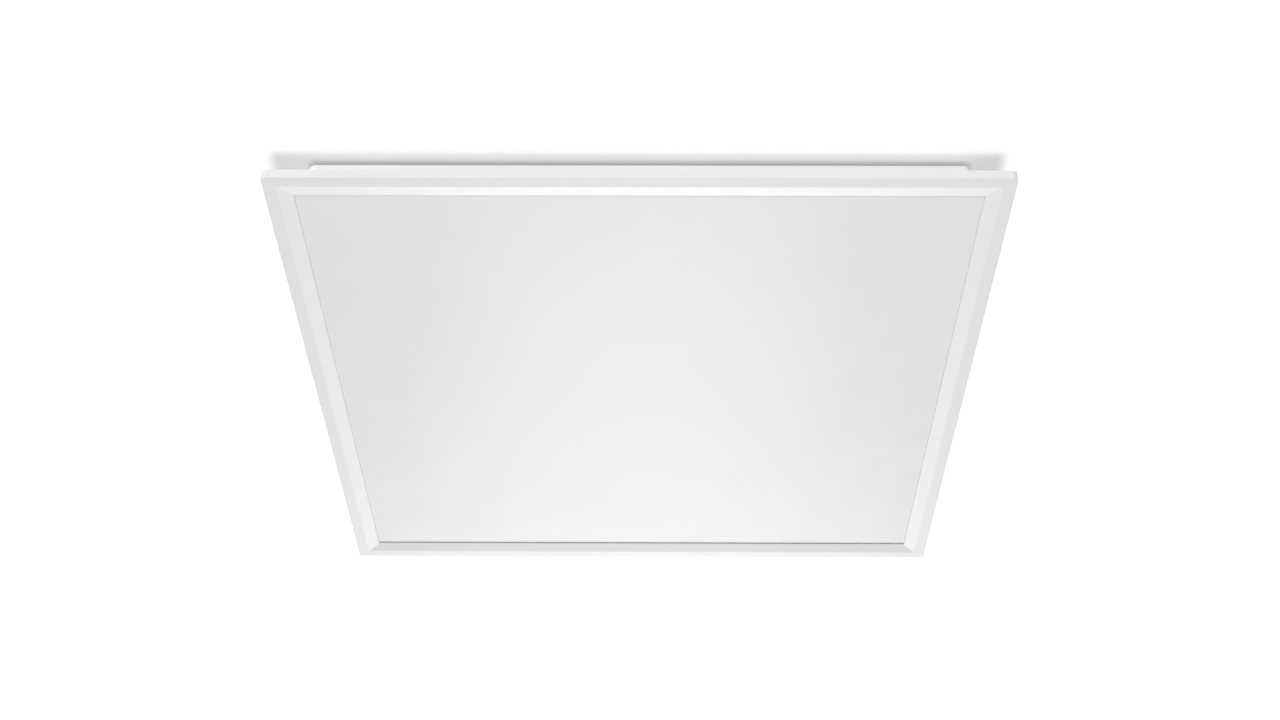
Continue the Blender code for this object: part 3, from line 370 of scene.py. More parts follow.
def loft(bm, rings, capped=(True, True), closed=False, matrix=None):
    """Walls between rings with the same number of points. closed joins the last ring to the first."""
    place = matrix or Matrix.Identity(4)
    loops = [[bm.verts.new(place @ Vector(p)) for p in ring] for ring in rings]
    pairs = list(zip(loops, loops[1:]))
    if closed:
        pairs.append((loops[-1], loops[0]))
    for low, high in pairs:
        for i, point in enumerate(low):
            j = (i + 1) % len(low)
            bm.faces.new((point, low[j], high[j], high[i]))
    if capped[0] and not closed:
        bm.faces.new(loops[0][::-1])
    if capped[1] and not closed:
        bm.faces.new(loops[-1])


def extruded(bm, outline, start, end):
    """A closed outline of (y, z) points, drawn out along X from start to end."""
    loft(bm, [[(x, y, z) for y, z in outline] for x in (start, end)])


def lathe(bm, profile, steps=32, matrix=None):
    """A solid turned round Z from a profile of (radius, z) that starts and ends on the axis."""
    place = matrix or Matrix.Identity(4)
    ends = [bm.verts.new(place @ Vector((0, 0, profile[i][1]))) for i in (0, -1)]
    angles = [2 * math.pi * k / steps for k in range(steps)]
    loops = []
    for radius, z in profile[1:-1]:
        points = [Vector((radius * math.cos(a), radius * math.sin(a), z)) for a in angles]
        loops.append([bm.verts.new(place @ point) for point in points])
    for low, high in zip(loops, loops[1:]):
        for i in range(steps):
            j = (i + 1) % steps
            bm.faces.new((low[i], high[i], high[j], low[j]))
    for i in range(steps):
        j = (i + 1) % steps
        bm.faces.new((ends[0], loops[0][i], loops[0][j]))
        bm.faces.new((ends[1], loops[-1][j], loops[-1][i]))


def slab(bm, low, high):
    """A plain box between two corners, used to cut or to join."""
    size = [b - a for a, b in zip(low, high)]
    place = Matrix.LocRotScale(Vector(middle(low, high)), None, Vector(size))
    bmesh.ops.create_cube(bm, size=1, matrix=place)


def rod(bm, radius, start, end, steps=32):
    """A round bar, used to cut or to join."""
    start, end = Vector(start), Vector(end)
    along = end - start
    turn = UP.rotation_difference(along).to_matrix().to_4x4()
    place = Matrix.Translation((start + end) / 2) @ turn
    bmesh.ops.create_cone(
        bm, cap_ends=True, segments=steps, radius1=radius, radius2=radius, depth=along.length, matrix=place
    )


def soft_block(bm, low, high, corner, edge, steps=6):
    """A block with round vertical corners and round top and bottom edges."""
    half_x, half_y = (high[0] - low[0]) / 2, (high[1] - low[1]) / 2
    smallest_corner = 0.05 * MM
    arc = [math.pi / 2 * k / 4 for k in range(5)]
    lower = [(edge * (1 - math.sin(a)), low[2] + edge * (1 - math.cos(a))) for a in arc]
    upper = [(edge * (1 - math.cos(a)), high[2] - edge * (1 - math.sin(a))) for a in arc]
    rings = [
        rounded_ring(half_x - inset, half_y - inset, max(corner - inset, smallest_corner), z, steps,
                     middle(low[:2], high[:2]))
        for inset, z in lower + upper
    ]
    loft(bm, rings)


def mesh_of(build, *arguments, **settings):
    """A new mesh made by a function that adds its faces to a bmesh."""
    bm = bmesh.new()
    build(bm, *arguments, **settings)
    bmesh.ops.recalc_face_normals(bm, faces=bm.faces)
    mesh = bpy.data.meshes.new(build.__name__)
    bm.to_mesh(mesh)
    bm.free()
    return mesh


def helper(mesh):
    obj = bpy.data.objects.new("helper", mesh)
    SCENE.collection.objects.link(obj)
    return obj


def combined(mesh, steps, thickness=0.0):
    """The mesh after its sheet thickness and a list of (operation, mesh) booleans, all applied."""
    obj = helper(mesh)
    if thickness:
        sheet = obj.modifiers.new("sheet", "SOLIDIFY")
        sheet.thickness = thickness
        sheet.offset = -1
        sheet.use_even_offset = True
    others = [helper(other) for _, other in steps]
    for (operation, _), other in zip(steps, others):
        modifier = obj.modifiers.new("join", "BOOLEAN")
        modifier.operation = operation
        modifier.object = other
        modifier.solver = "EXACT"
    bpy.context.view_layer.update()
    graph = bpy.context.evaluated_depsgraph_get()
    result = bpy.data.meshes.new_from_object(obj.evaluated_get(graph))
    for used in [obj, *others]:
        bpy.data.objects.remove(used, do_unlink=True)
    return result


def joined(*shapes):
    """The boolean steps that join the shapes on."""
    return [("UNION", mesh_of(shape)) for shape in shapes]


def cut(*shapes):
    """The boolean steps that cut the shapes away."""
    return [("DIFFERENCE", mesh_of(shape)) for shape in shapes]


def numbered(name, count):
    return [f"{name}_{number}" for number in range(1, count + 1)]


def piece(name, mesh, material, body=BASE, replaces=(), smooth_angle=40, place=None):
    """Adds a finished piece that rides on its body. Edges sharper than smooth_angle degrees stay sharp."""
    obj = bpy.data.objects.new(name, mesh)
    SCENE.collection.objects.link(obj)
    mesh.materials.clear()
    mesh.materials.append(material)
    mesh.shade_smooth()
    mesh.set_sharp_from_angle(angle=math.radians(smooth_angle))
    if place is not None:
        obj.location = place
    weights = obj.modifiers.new("weights", "WEIGHTED_NORMAL")
    weights.keep_sharp = True
    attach(obj, body)
    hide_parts(*replaces)
    return obj


def keep_node(node, material):
    """A CAD node that is shown as it is, with its own material."""
    mesh = frame["nodes"][node].data
    mesh.materials.clear()
    mesh.materials.append(material)


# --- Front -------------------------------------------------------------------------------------------
def frame_ring(bm):
    """The moulded frame: round outer edge, flat rim, shallow bevel, lip and ledge, with mitred corners."""
    rim, rise, wall = 10.5 * MM, 2 * MM, 2 * MM
    rib, rib_width, rib_top = 15.6 * MM, 1.4 * MM, 5.8 * MM
    ledge_top, top = DIFFUSER_FACE - 0.01 * MM, frame_high.z
    outer_corner, inner_corner = 4 * MM, 0.25 * MM
    section = [
        (0, top), (0, 0), (rim, 0), (WINDOW_INSET, rise), (WINDOW_INSET, ledge_top), (rib, ledge_top),
        (rib, rib_top), (rib - rib_width, rib_top), (rib - rib_width, wall), (wall, wall), (wall, top),
    ]
    small = (0.2 * MM, 3)
    fillets = {0: small, 1: (0.8 * MM, 6), 2: (1.2 * MM, 3), 3: (0.25 * MM, 4), 4: small, 10: small}
    rings = [
        rounded_ring(HALF - inset, HALF - inset, max(outer_corner - inset, inner_corner), z)
        for inset, z in filleted(section, fillets, closed=True)
    ]
    loft(bm, rings, closed=True)


def make_front():
    """The frame and the diffuser. Both are returned, for the light that they alone take."""
    keep_node("diffuser_plate", OPAL)
    ring = mesh_of(frame_ring)
    moulding = piece("frame_moulding", ring, WHITE_FRAME, replaces=["front_frame"])
    return moulding, frame["nodes"]["diffuser_plate"]


# --- Rear tray ---------------------------------------------------------------------------------------
def interpolate(value, points):
    for (x0, y0), (x1, y1) in zip(points, points[1:]):
        if value <= x1:
            return y0 + (y1 - y0) * (value - x0) / (x1 - x0)
    return points[-1][1]


def tray_sheet(bm):
    """The outer face of the pressed tray: flange, bend, sloping wall, bend and back."""
    edge, foot, middle_inset = 3 * MM, 19 * MM, 42 * MM
    profile = [(edge, FLANGE_TOP), (foot, FLANGE_TOP), (TRAY_INSET, TRAY_TOP), (middle_inset, TRAY_TOP)]
    corner_radii = [(edge, 4 * MM), (foot, 16.5 * MM), (TRAY_INSET, 6 * MM), (middle_inset, 2 * MM)]
    path = filleted(profile, {1: (2.4 * MM, 5), 2: (3.2 * MM, 7)})
    rings = [
        rounded_ring(HALF - inset, HALF - inset, interpolate(inset, corner_radii), z, 12) for inset, z in path
    ]
    loft(bm, rings, capped=(False, True))


def bead_places():
    """(x, y, direction, length) of each pressed bead on the tray's back."""
    rows = [(100 * MM, 330 * MM), (176 * MM, 210 * MM)]
    along = [(0, side * row, 0, length) for side in (-1, 1) for row, length in rows]
    place, length = 178 * MM, 92 * MM
    corners = [(x * place, y * place, x * y * math.pi / 4, length) for x in (-1, 1) for y in (-1, 1)]
    return along + corners


def beads(bm):
    """The raised beads, each with a soft shoulder given as (inset, rise)."""
    half_width, below = 6 * MM, 0.5 * MM
    shoulder = [
        (0, -below), (0, 0.02 * MM), (0.35 * MM, 0.18 * MM), (0.8 * MM, 0.62 * MM), (1.25 * MM, 1.1 * MM),
        (1.9 * MM, 1.38 * MM), (2.9 * MM, BEAD_HEIGHT - 0.03 * MM), (4.2 * MM, BEAD_HEIGHT),
    ]
    for x, y, direction, length in bead_places():
        turn = Matrix.Translation((x, y, TRAY_TOP)) @ Matrix.Rotation(direction, 4, "Z")
        rings = []
        for inset, rise in shoulder:
            half = half_width - inset
            rings.append(rounded_ring(length / 2 - inset, half, half - 0.1 * MM, rise, 8))
        loft(bm, rings, matrix=turn)


def make_tray():
    shell = combined(mesh_of(tray_sheet), joined(beads), TRAY_SHEET)
    piece("tray_pressing", shell, TRAY_WHITE, replaces=["rear_tray"], smooth_angle=50)


# --- Fasteners ---------------------------------------------------------------------------------------
def pan_head(bm, head_radius, head_height, shank_radius, shank_length):
    arc = [math.radians(a) for a in (12, 25, 40, 55, 70, 82, 90)]
    dome = [(head_radius * math.sin(a) ** 0.8, head_height * (0.35 + 0.65 * math.cos(a))) for a in arc]
    underside = [(head_radius - 0.15 * MM, 0), (shank_radius, 0)]
    tip = [(shank_radius, -shank_length + 0.4 * MM), (shank_radius * 0.6, -shank_length), (0, -shank_length)]
    lathe(bm, [(0, head_height), *dome, *underside, *tip], 28)


def recess_slot(bm, head_radius, head_height, turn):
    """One of the two tapered slots that cross in a screw's head."""
    reach, width = head_radius * 0.56, head_radius * 0.2
    rings = []
    for z, share in ((head_height * 0.1, 0.45), (head_height * 1.2, 1.0)):
        x, y = reach * share, width * (0.5 + 0.5 * share)
        rings.append([(-x, -y, z), (x, -y, z), (x, y, z), (-x, y, z)])
    loft(bm, rings, matrix=Matrix.Rotation(turn, 4, "Z"))


def screw_mesh(head_radius, head_height, shank_radius, shank_length):
    screw = mesh_of(pan_head, head_radius, head_height, shank_radius, shank_length)
    slots = [mesh_of(recess_slot, head_radius, head_height, turn) for turn in (0, math.pi / 2)]
    return combined(screw, [("DIFFERENCE", slot) for slot in slots])


def make_screws():
    """Pan-head screws. Each kind has its head's radius and height, and its shank's radius and length."""
    kinds = [
        (numbered("rim_screw", 8), (2.8 * MM, 1.8 * MM, 1.25 * MM, 5 * MM)),
        (numbered("cover_screw", 4), (3 * MM, 2 * MM, 1.3 * MM, 6 * MM)),
        (numbered("clamp_screw", 2), (2.8 * MM, 1.8 * MM, 1.3 * MM, 9 * MM)),
        (["earth_screw"], (3.6 * MM, 2.4 * MM, 1.7 * MM, 5.2 * MM)),
    ]
    for nodes, size in kinds:
        mesh = screw_mesh(*size)
        head_height = size[1]
        for node in nodes:
            low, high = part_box(node)
            x, y, _ = middle(low, high)
            under_head = Vector((x, y, high.z - head_height))
            piece(f"{node}_pan", mesh, ZINC, replaces=[node], place=under_head)


# --- Driver box --------------------------------------------------------------------------------------
COVER_HALF = 40 * MM
COVER_SHEET = 1 * MM
BAY_START, BAY_END = 60 * MM, 124 * MM
BAY_HALF = 38 * MM
BAY_TOP = 66 * MM
POST_FOOT = carrier_low.z + 1.6 * MM
CLAMP_X = 112 * MM
CABLE_Z = 52.5 * MM
CABLE_RADIUS = 5 * MM
HINGE_Y, HINGE_Z = 41.8 * MM, 66 * MM
KNUCKLE_RADIUS = 3.2 * MM
KNUCKLE_START, KNUCKLE_END = 78 * MM, 108 * MM
PIN_HEAD = 1 * MM


def cover_shell(bm):
    """The outer face of the folded cover, closed all round. Its bay end is cut open afterwards."""
    past_end, bend, top_lip = 3 * MM, 1.6 * MM, 8 * MM
    low_x, high_x, top = cover_low.x, cover_high.x + past_end, cover_high.z
    centre, half_x = ((low_x + high_x) / 2, 0), (high_x - low_x) / 2
    profile = filleted([(0, cover_low.z), (0, top), (top_lip, top)], {1: (bend, 6)})
    rings = [
        rounded_ring(half_x - inset, COVER_HALF - inset, max(bend - inset, 0.3 * MM), z, 6, centre)
        for inset, z in profile
    ]
    loft(bm, rings, capped=(False, True))


def cover_cuts(bm):
    """The open end towards the wiring bay, the vents and the selector's window."""
    above = 80 * MM
    slab(bm, (cover_high.x, -50 * MM, 30 * MM), (cover_high.x + 20 * MM, 50 * MM, above))
    for vent in range(9):
        centre = (-100 * MM + vent * 9 * MM, 0)
        heights = (cover_high.z - 3 * MM, above)
        loft(bm, [rounded_ring(1.5 * MM, 20 * MM, 1.45 * MM, z, 6, centre) for z in heights])
    window = [rounded_ring(6.5 * MM, 2.2 * MM, 1 * MM, z, 4) for z in (0, 6 * MM)]
    turn = Matrix.Translation((-14 * MM, -36 * MM, 55 * MM)) @ Matrix.Rotation(math.pi / 2, 4, "X")
    loft(bm, window, matrix=turn)


def cover_ears(bm):
    """The four screwed ears, each with round corners and soft edges."""
    half_x, half_y, corner, edge = 7 * MM, 11.2 * MM, 4 * MM, 0.15 * MM
    bottom, top = cover_low.z, cover_low.z + COVER_SHEET
    section = [(edge, bottom), (0, bottom + edge), (0, top - edge), (edge, top)]
    for x in (-105 * MM, 40 * MM):
        for side in (-1, 1):
            centre = (x, side * 50.8 * MM)
            rings = [
                rounded_ring(half_x - inset, half_y - inset, corner - inset, z, 8, centre)
                for inset, z in section
            ]
            loft(bm, rings)


def seams(bm):
    """Narrow gaps where the end flap meets the sides."""
    half_width, half_depth = 0.18 * MM, 0.9 * MM
    x, y = cover_low.x + 1.2 * MM, COVER_HALF - 0.2 * MM
    bottom, top = cover_low.z - 1 * MM, cover_high.z - 2.4 * MM
    for side in (-1, 1):
        low = (x - half_width, side * y - half_depth, bottom)
        high = (x + half_width, side * y + half_depth, top)
        slab(bm, low, high)


def make_cover():
    shell = combined(mesh_of(cover_shell), cut(cover_cuts, seams) + joined(cover_ears), COVER_SHEET)
    piece("driver_cover_folded", shell, COVER_WHITE, replaces=["driver_cover"],
          smooth_angle=50)


def bay_box(bm):
    """The bay as an open box with round corners: outer walls, rounded rim, inner walls and a floor."""
    wall, edge, corner = 2 * MM, 0.4 * MM, 2.2 * MM
    bottom, floor = carrier_low.z, carrier_low.z + 2 * MM
    centre, half_x = ((BAY_START + BAY_END) / 2, 0), (BAY_END - BAY_START) / 2
    profile = [(edge, bottom), (0, bottom + edge), (0, BAY_TOP), (wall, BAY_TOP), (wall, floor)]
    path = filleted(profile, {2: (edge, 4), 3: (edge, 4)})
    path.append((wall + 1.2 * MM, floor))
    path = filleted(path, {len(path) - 2: (0.8 * MM, 4)})
    rings = [
        rounded_ring(half_x - inset, BAY_HALF - inset, max(corner - inset, 0.3 * MM), z, 6, centre)
        for inset, z in path
    ]
    loft(bm, rings)


def clamp_posts(bm):
    """The two posts that the cord clamp's screws go into."""
    for side in (-1, 1):
        y = side * 12.5 * MM
        rod(bm, 3.4 * MM, (CLAMP_X, y, POST_FOOT), (CLAMP_X, y, 57.2 * MM))


def cable_saddle(bm):
    """The bar that the mains cable rests on, under the clamp."""
    half_width, half_length = 2 * MM, 13 * MM
    slab(bm, (CLAMP_X - half_width, -half_length, POST_FOOT), (CLAMP_X + half_width, half_length, 47.5 * MM))


def hinge_ear(bm, start, end):
    """One hinge ear: a knuckle with a web down the wall, as one outline drawn along the hinge."""
    y, z, inside = HINGE_Y, HINGE_Z, 37.6 * MM
    arc = [math.radians(a) for a in range(180, -91, -15)]
    knuckle = [(y + KNUCKLE_RADIUS * math.cos(a), z + KNUCKLE_RADIUS * math.sin(a)) for a in arc]
    web = [(y - 0.4 * MM, z - 6 * MM), (inside, z - 9 * MM)]
    extruded(bm, [(inside, z), *knuckle[1:], *web], start, end)


def ear_bore(bm):
    rod(bm, 1.6 * MM, (60 * MM, HINGE_Y, HINGE_Z), (125 * MM, HINGE_Y, HINGE_Z), 24)


def bay_cuts(bm):
    """The mains cable's hole, and the mains lead's hole through the partition."""
    rod(bm, CABLE_RADIUS, (118 * MM, 0, CABLE_Z), (130 * MM, 0, CABLE_Z), 40)
    rod(bm, 2.2 * MM, (55 * MM, 0, 54 * MM), (64 * MM, 0, 54 * MM), 24)


def cable_collar(bm):
    """A thin raised ring round the cable's hole, on the outside of the end wall."""
    inner, outer, back, front = CABLE_RADIUS, 7 * MM, -1 * MM, 0.8 * MM
    section = [(inner, back), (outer, back), (outer, front), (inner, front)]
    profile = filleted(section, {2: (0.5 * MM, 4), 3: (0.3 * MM, 3)}, closed=True)
    steps = 40
    angles = [2 * math.pi * k / steps for k in range(steps)]
    turn = Matrix.Translation((BAY_END, 0, CABLE_Z)) @ Matrix.Rotation(math.pi / 2, 4, "Y")
    rings = [[(radius * math.cos(a), radius * math.sin(a), z) for a in angles] for radius, z in profile]
    loft(bm, rings, closed=True, matrix=turn)


def carrier_base(bm):
    """The part of the carrier that lies under the steel cover."""
    slab(bm, (-118 * MM, -BAY_HALF, carrier_low.z), (62 * MM, BAY_HALF, carrier_low.z + 2 * MM))


def make_bay():
    steps = joined(carrier_base, clamp_posts, cable_saddle)
    for start, end in ((70 * MM, 77.4 * MM), (108.6 * MM, 116 * MM)):
        steps.append(("UNION", mesh_of(hinge_ear, start, end)))
    steps += cut(ear_bore) + joined(cable_collar) + cut(bay_cuts)
    moulding = combined(mesh_of(bay_box), steps)
    piece("carrier_moulding", moulding, BAY_WHITE, replaces=["driver_carrier"],
          smooth_angle=35)


def lid_plate(bm):
    low, high = (62.2 * MM, -BAY_HALF, 66.3 * MM), (BAY_END, 37.7 * MM, 68.3 * MM)
    soft_block(bm, low, high, 2.4 * MM, 0.6 * MM)


def lid_ribs(bm):
    """Raised grip ribs near the lid's free edge."""
    half_width = 0.7 * MM
    for row in range(4):
        y = -29 * MM + row * 3.2 * MM
        low, high = (80 * MM, y - half_width, 68 * MM), (106 * MM, y + half_width, 68.8 * MM)
        soft_block(bm, low, high, 0.65 * MM, 0.35 * MM, 4)


def lid_skirt(bm):
    """The rim under the lid that drops inside the bay's walls."""
    low_x, high_x, half_y = 62.3 * MM, 121.7 * MM, 35.7 * MM
    bottom, top, wall = 63.3 * MM, 66.6 * MM, 1.4 * MM
    centre, half_x = ((low_x + high_x) / 2, 0), (high_x - low_x) / 2
    outer_corner, inner_corner = 1 * MM, 0.4 * MM
    section = [(0, top, outer_corner), (0, bottom, outer_corner), (wall, bottom, inner_corner),
               (wall, top, inner_corner)]
    rings = [
        rounded_ring(half_x - inset, half_y - inset, corner, z, 3, centre) for inset, z, corner in section
    ]
    loft(bm, rings, closed=True)


def lid_knuckle(bm):
    rod(bm, KNUCKLE_RADIUS, (KNUCKLE_START, HINGE_Y, HINGE_Z), (KNUCKLE_END, HINGE_Y, HINGE_Z))


def lid_bridge(bm):
    """The strip that joins the lid's plate to its knuckle."""
    slab(bm, (KNUCKLE_START, 36 * MM, 66.35 * MM), (KNUCKLE_END, HINGE_Y, 68.9 * MM))


def lid_latch(bm):
    """The springy tongue over the wall's outside, with a lip to pull."""
    outline = [
        (-37 * MM, 66.4 * MM), (-37 * MM, 68.1 * MM), (-39.2 * MM, 68.1 * MM), (-40.4 * MM, 67 * MM),
        (-40.4 * MM, 60 * MM), (-42.4 * MM, 59.2 * MM), (-42.4 * MM, 58 * MM), (-38.6 * MM, 58 * MM),
        (-38.6 * MM, 65.6 * MM), (-38.4 * MM, 66.4 * MM),
    ]
    path = filleted(outline, {2: (0.8 * MM, 3), 3: (0.5 * MM, 3), 5: (0.4 * MM, 2)}, closed=True)
    extruded(bm, path, 86 * MM, 100 * MM)


def make_lid():
    steps = joined(lid_skirt, lid_bridge, lid_knuckle, lid_latch, lid_ribs) + cut(ear_bore)
    lid = combined(mesh_of(lid_plate), steps)
    piece("wiring_lid_moulding", lid, LID_GREY, "wiring_lid", ["wiring_lid"], smooth_angle=35)


def pin_shape(bm, length):
    """A pin along +X from the origin, with a chamfered end and a head past its length."""
    head, radius, head_chamfer, tip_chamfer = 2.2 * MM, 1.3 * MM, 0.5 * MM, 0.4 * MM
    end = length + PIN_HEAD
    profile = [(0, end), (head - head_chamfer, end), (head, end - head_chamfer), (head, length)]
    profile += [(radius, length), (radius, tip_chamfer), (radius - tip_chamfer, 0), (0, 0)]
    lathe(bm, profile, 24, Matrix.Rotation(math.pi / 2, 4, "Y"))


def make_hinge_pin():
    low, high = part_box("hinge_pin")
    mesh = mesh_of(pin_shape, high.x - low.x - PIN_HEAD)
    _, y, z = middle(low, high)
    piece("hinge_pin_turned", mesh, ZINC, replaces=["hinge_pin"], place=Vector((low.x, y, z)))


# --- Grid clips --------------------------------------------------------------------------------------
CLIP_SHEET = 1.2 * MM


def clip_arm(bm):
    """The flat arm, from the pivot at the origin along +X, with round ends and soft edges."""
    half_length, half_width, corner, edge = 35.5 * MM, 8 * MM, 6 * MM, 0.15 * MM
    centre = (26.5 * MM, 0)
    section = [(edge, 0), (0, edge), (0, CLIP_SHEET - edge), (edge, CLIP_SHEET)]
    rings = [
        rounded_ring(half_length - inset, half_width - inset, corner - inset, z, 10, centre)
        for inset, z in section
    ]
    loft(bm, rings)


def clip_rib(bm):
    """A raised stiffening rib along the arm."""
    soft_block(bm, (11 * MM, -2.2 * MM, 0.8 * MM), (52 * MM, 2.2 * MM, 1.9 * MM), 2.1 * MM, 0.5 * MM, 8)


def clip_tab(bm):
    """The finger tab, bent up at the end of the arm, with round upper corners."""
    half, top, radius = 3.5 * MM, 7.2 * MM, 2 * MM
    middle_y, middle_z = half - radius, top - radius
    corner = [math.radians(a) for a in range(0, 91, 15)]
    outline = [(-half, 0), (half, 0)]
    outline += [(middle_y + radius * math.cos(a), middle_z + radius * math.sin(a)) for a in corner]
    outline += [(-middle_y - radius * math.sin(a), middle_z + radius * math.cos(a)) for a in corner]
    extruded(bm, outline, 60.8 * MM, 62 * MM)


def clip_hole(bm):
    rod(bm, 2.3 * MM, (0, 0, -1 * MM), (0, 0, 3 * MM))


def rivet_shape(bm):
    """A closed rivet: a low domed head over the clip, and its upset end under the tray."""
    head, shank, upset = 4 * MM, 2 * MM, 3.2 * MM
    seat, dome_height, underside = 1.5 * MM, 1.6 * MM, -1.7 * MM
    arc = [math.radians(a) for a in (15, 30, 45, 60, 75, 90)]
    dome = [(head * math.sin(a), seat + dome_height * math.cos(a)) for a in arc]
    profile = [(0, seat + dome_height), *dome, (head, seat), (shank, seat), (shank, underside)]
    lathe(bm, [*profile, (upset, underside), (upset, -2.5 * MM), (0, -2.9 * MM)])


def make_clips():
    arm = combined(mesh_of(clip_arm), joined(clip_rib, clip_tab) + cut(clip_hole))
    rivet = mesh_of(rivet_shape)
    for joint in frame["joints"]:
        if not joint["name"].startswith("grid_clip"):
            continue
        body, pivot = joint["child"], Vector(joint["pos_m"])
        inward = 0 if pivot.x < 0 else math.pi
        mesh = arm.copy()
        mesh.transform(Matrix.Translation(pivot) @ Matrix.Rotation(inward, 4, "Z"))
        piece(f"{body}_pressing", mesh, ZINC_SHEET, body, [body], smooth_angle=35)
        node = f"clip_rivet_{body[-1]}"
        piece(f"{node}_domed", rivet, RIVET_METAL, replaces=[node], place=pivot)


# --- CAD nodes that stay -----------------------------------------------------------------------------
def make_inside():
    for node in numbered("led_board", 6):
        keep_node(node, BOARD)
    for node in numbered("jumper_lead", 5):
        keep_node(node, WIRE_WHITE)
    for node in numbered("release_button", 3):
        keep_node(node, BUTTON_ORANGE)
    kept = {
        "reflector_foil": FOIL, "dc_lead": WIRE_WHITE, "mains_lead": WIRE_WHITE, "earth_lead": WIRE_EARTH,
        "lead_grommet": RUBBER, "driver_pcb": PCB, "transformer": FERRITE, "bulk_capacitor": SLEEVE,
        "output_capacitor": SLEEVE, "input_choke": COPPER, "heat_sink": SINK_METAL, "rating_label": LABEL,
        "selector_slider": SLIDER_BLACK, "terminal_block": BLOCK_GREY, "cord_clamp": BAY_WHITE,
    }
    for node, material in kept.items():
        keep_node(node, material)


# --- Stage, lights and camera ------------------------------------------------------------------------
FLOOR_Z = -0.2 * MM
CEILING_Z = TRAY_TOP + 2.7 * MM  # just above the grid clips
# half width at which the ceiling's painted shade round the tray's top edge begins
PAINTED_SHADE_START = HALF - 32 * MM
WORLD_BELOW, WORLD_ABOVE, WORLD_SEEN = 0.54, 0.58, 0.61


def plane(name, half, z, material):
    """A stage plane that the camera alone sees, so that it takes no light from the panel."""
    mesh = bpy.data.meshes.new(name)
    corners = [(-half, -half, z), (half, -half, z), (half, half, z), (-half, half, z)]
    mesh.from_pydata(corners, [], [(0, 1, 2, 3)])
    mesh.materials.append(material)
    obj = bpy.data.objects.new(name, mesh)
    SCENE.collection.objects.link(obj)
    for ray in ("diffuse", "glossy", "transmission", "shadow", "volume_scatter"):
        setattr(obj, f"visible_{ray}", False)
    return obj


def one_sided_paint(name, grey, opaque_from_below, painted_shade_edge=None):
    """Matt paint on one side of a plane. The other side is clear, so that the panel shows through it.

    Where a half width is given, the paint darkens over a few mm towards a rounded square of that half width:
    painted shade where the ceiling meets the panel's tray.
    """
    n = Nodes(name)
    colour, ramp, corner = (grey, grey, grey), 6 * MM, 12 * MM
    matt = n.add("BsdfDiffuse")
    paint = n.mix(n.remap(n.noise(3, 2), 0, 1), tinted(colour, 0.995), tinted(colour, 1.005))
    # painted shade: the ceiling is darkened in a narrow band round the tray's top edge, for the contact
    # shadow there
    if painted_shade_edge:
        x, y, _ = n.axes()
        reach = n.math("SMOOTH_MAX", n.math("ABSOLUTE", x), n.math("ABSOLUTE", y), corner)
        unshaded = n.remap(reach, 0, 1, painted_shade_edge, painted_shade_edge + ramp)
        paint = n.mix(unshaded, tinted(colour, 0.55), paint)
    n.put(matt, "Color", paint)
    clear = n.add("BsdfTransparent")
    both = n.add("MixShader")
    n.put(both, 0, n.add("NewGeometry").outputs["Backfacing"])
    order = (clear, matt) if opaque_from_below else (matt, clear)
    for socket, shader in zip((1, 2), order):
        n.put(both, socket, shader.outputs[0])
    n.put(n.tree.nodes["Material Output"], "Surface", both.outputs[0])
    return n.material


def light(name, kind, energy, location, size, size_y=None, target=(0, 0, 0)):
    """A light at location that shines at target. A sun's size is its angle."""
    data = bpy.data.lights.new(name, kind)
    data.energy = energy
    if kind == "AREA":
        data.shape = "RECTANGLE"
        data.size = size
        data.size_y = size_y
    else:
        data.angle = size
    obj = bpy.data.objects.new(name, data)
    SCENE.collection.objects.link(obj)
    obj.location = location
    obj.rotation_mode = "QUATERNION"
    obj.rotation_quaternion = (Vector(target) - Vector(location)).to_track_quat("-Z", "Y")
    obj.visible_camera = False
    return obj


def linked_group(name, state, objects):
    """A collection of objects that a light's linking includes or leaves out, as state says."""
    group = bpy.data.collections.new(name)
    for obj in objects:
        group.objects.link(obj)
    for entry in group.collection_objects:
        entry.light_linking.link_state = state
    return group


def link_light(lamp, state, objects):
    """Lights the objects alone (INCLUDE), or everything but them (EXCLUDE)."""
    lamp.light_linking.receiver_collection = linked_group(f"{lamp.name}_linked", state, objects)


def pass_through(lamp, obj):
    """The object casts no shadow in this lamp's light."""
    lamp.light_linking.blocker_collection = linked_group(f"{lamp.name}_passes", "EXCLUDE", [obj])


def make_world():
    """Even light from all round, a little brighter from above. The camera sees a plain pale backdrop."""
    world = bpy.data.worlds.new("studio")
    SCENE.world = world
    world.use_nodes = True
    tree = world.node_tree
    direction = tree.nodes.new("ShaderNodeTexCoord").outputs["Generated"]
    height = tree.nodes.new("ShaderNodeSeparateXYZ")
    tree.links.new(direction, height.inputs[0])
    fade = tree.nodes.new("ShaderNodeMapRange")
    tree.links.new(height.outputs["Z"], fade.inputs["Value"])
    limits = {"From Min": -0.1, "From Max": 0.2, "To Min": WORLD_BELOW, "To Max": WORLD_ABOVE}
    for socket, number in limits.items():
        fade.inputs[socket].default_value = number
    camera_ray = tree.nodes.new("ShaderNodeLightPath").outputs["Is Camera Ray"]
    strength = tree.nodes.new("ShaderNodeMix")
    tree.links.new(camera_ray, strength.inputs[0])
    tree.links.new(fade.outputs["Result"], strength.inputs[2])
    strength.inputs[3].default_value = WORLD_SEEN
    background = tree.nodes["Background"]
    background.inputs["Color"].default_value = (1, 1, 1, 1)
    tree.links.new(strength.outputs[0], background.inputs["Strength"])


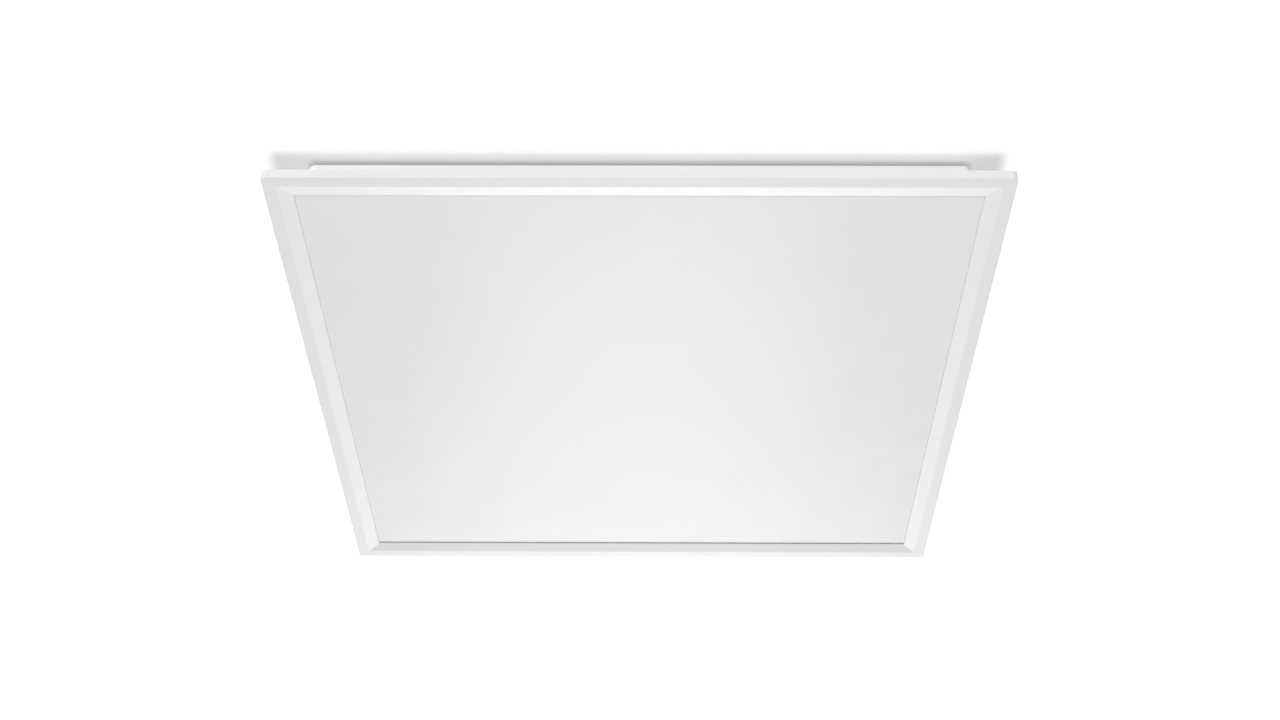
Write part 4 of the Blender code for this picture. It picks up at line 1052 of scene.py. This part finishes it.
def make_lights(front):
    """Soft light on the front from the far side, and on the back from above. The ceiling has its own suns."""
    make_world()
    floor_paint = one_sided_paint("floor_paint", 0.66, opaque_from_below=False)
    floor = plane("floor", 60, FLOOR_Z, floor_paint)
    ceiling_paint = one_sided_paint("ceiling_paint", 0.5, opaque_from_below=True, painted_shade_edge=PAINTED_SHADE_START)
    ceiling = plane("ceiling", 6, CEILING_Z, ceiling_paint)
    skim = light("skim", "AREA", 354, (0, 9, -1.87), 4.0, 2.4)
    softbox = light("softbox", "AREA", 3.6, (0, 1.4, -1.15), 0.6, 0.7)
    fill = light("fill", "AREA", 28, (0, -2.6, -1.45), 1.6, 1.0, target=(0, -0.3, 0))
    top = light("top", "SUN", 1.3, (-1.2, -0.8, 2.2), math.radians(24))
    link_light(softbox, "EXCLUDE", [ceiling, floor])
    link_light(fill, "EXCLUDE", [ceiling, floor])
    link_light(top, "EXCLUDE", [ceiling])
    link_light(skim, "INCLUDE", front)
    pass_through(skim, front[0])
    for degrees, strength, spread in ((27.5, 2.8, 17), (54.6, 4.0, 10)):
        tilt = math.radians(degrees)
        place = (0.04, -math.sin(tilt), -math.cos(tilt))
        sun = light(f"ceiling_sun_{degrees}", "SUN", strength, place, math.radians(spread))
        link_light(sun, "INCLUDE", [ceiling])


def make_camera():
    """Below and in front of the panel, looking up at it."""
    data = bpy.data.cameras.new("camera")
    data.sensor_width = 36
    data.lens = 49.18
    data.clip_start = 0.05
    obj = bpy.data.objects.new("camera", data)
    SCENE.collection.objects.link(obj)
    turns = Matrix.Rotation(math.radians(0.44), 4, "Z") @ Matrix.Rotation(math.radians(126.09), 4, "X")
    roll = Matrix.Rotation(math.radians(0.38), 4, "Z")
    obj.matrix_world = Matrix.Translation((0.0097, -1.3251, -0.925)) @ turns @ roll
    SCENE.camera = obj


def main():
    SCENE.view_settings.view_transform = "Standard"
    make_camera()
    front = make_front()
    make_tray()
    make_screws()
    make_cover()
    make_bay()
    make_lid()
    make_hinge_pin()
    make_clips()
    make_inside()
    make_lights(front)


main()
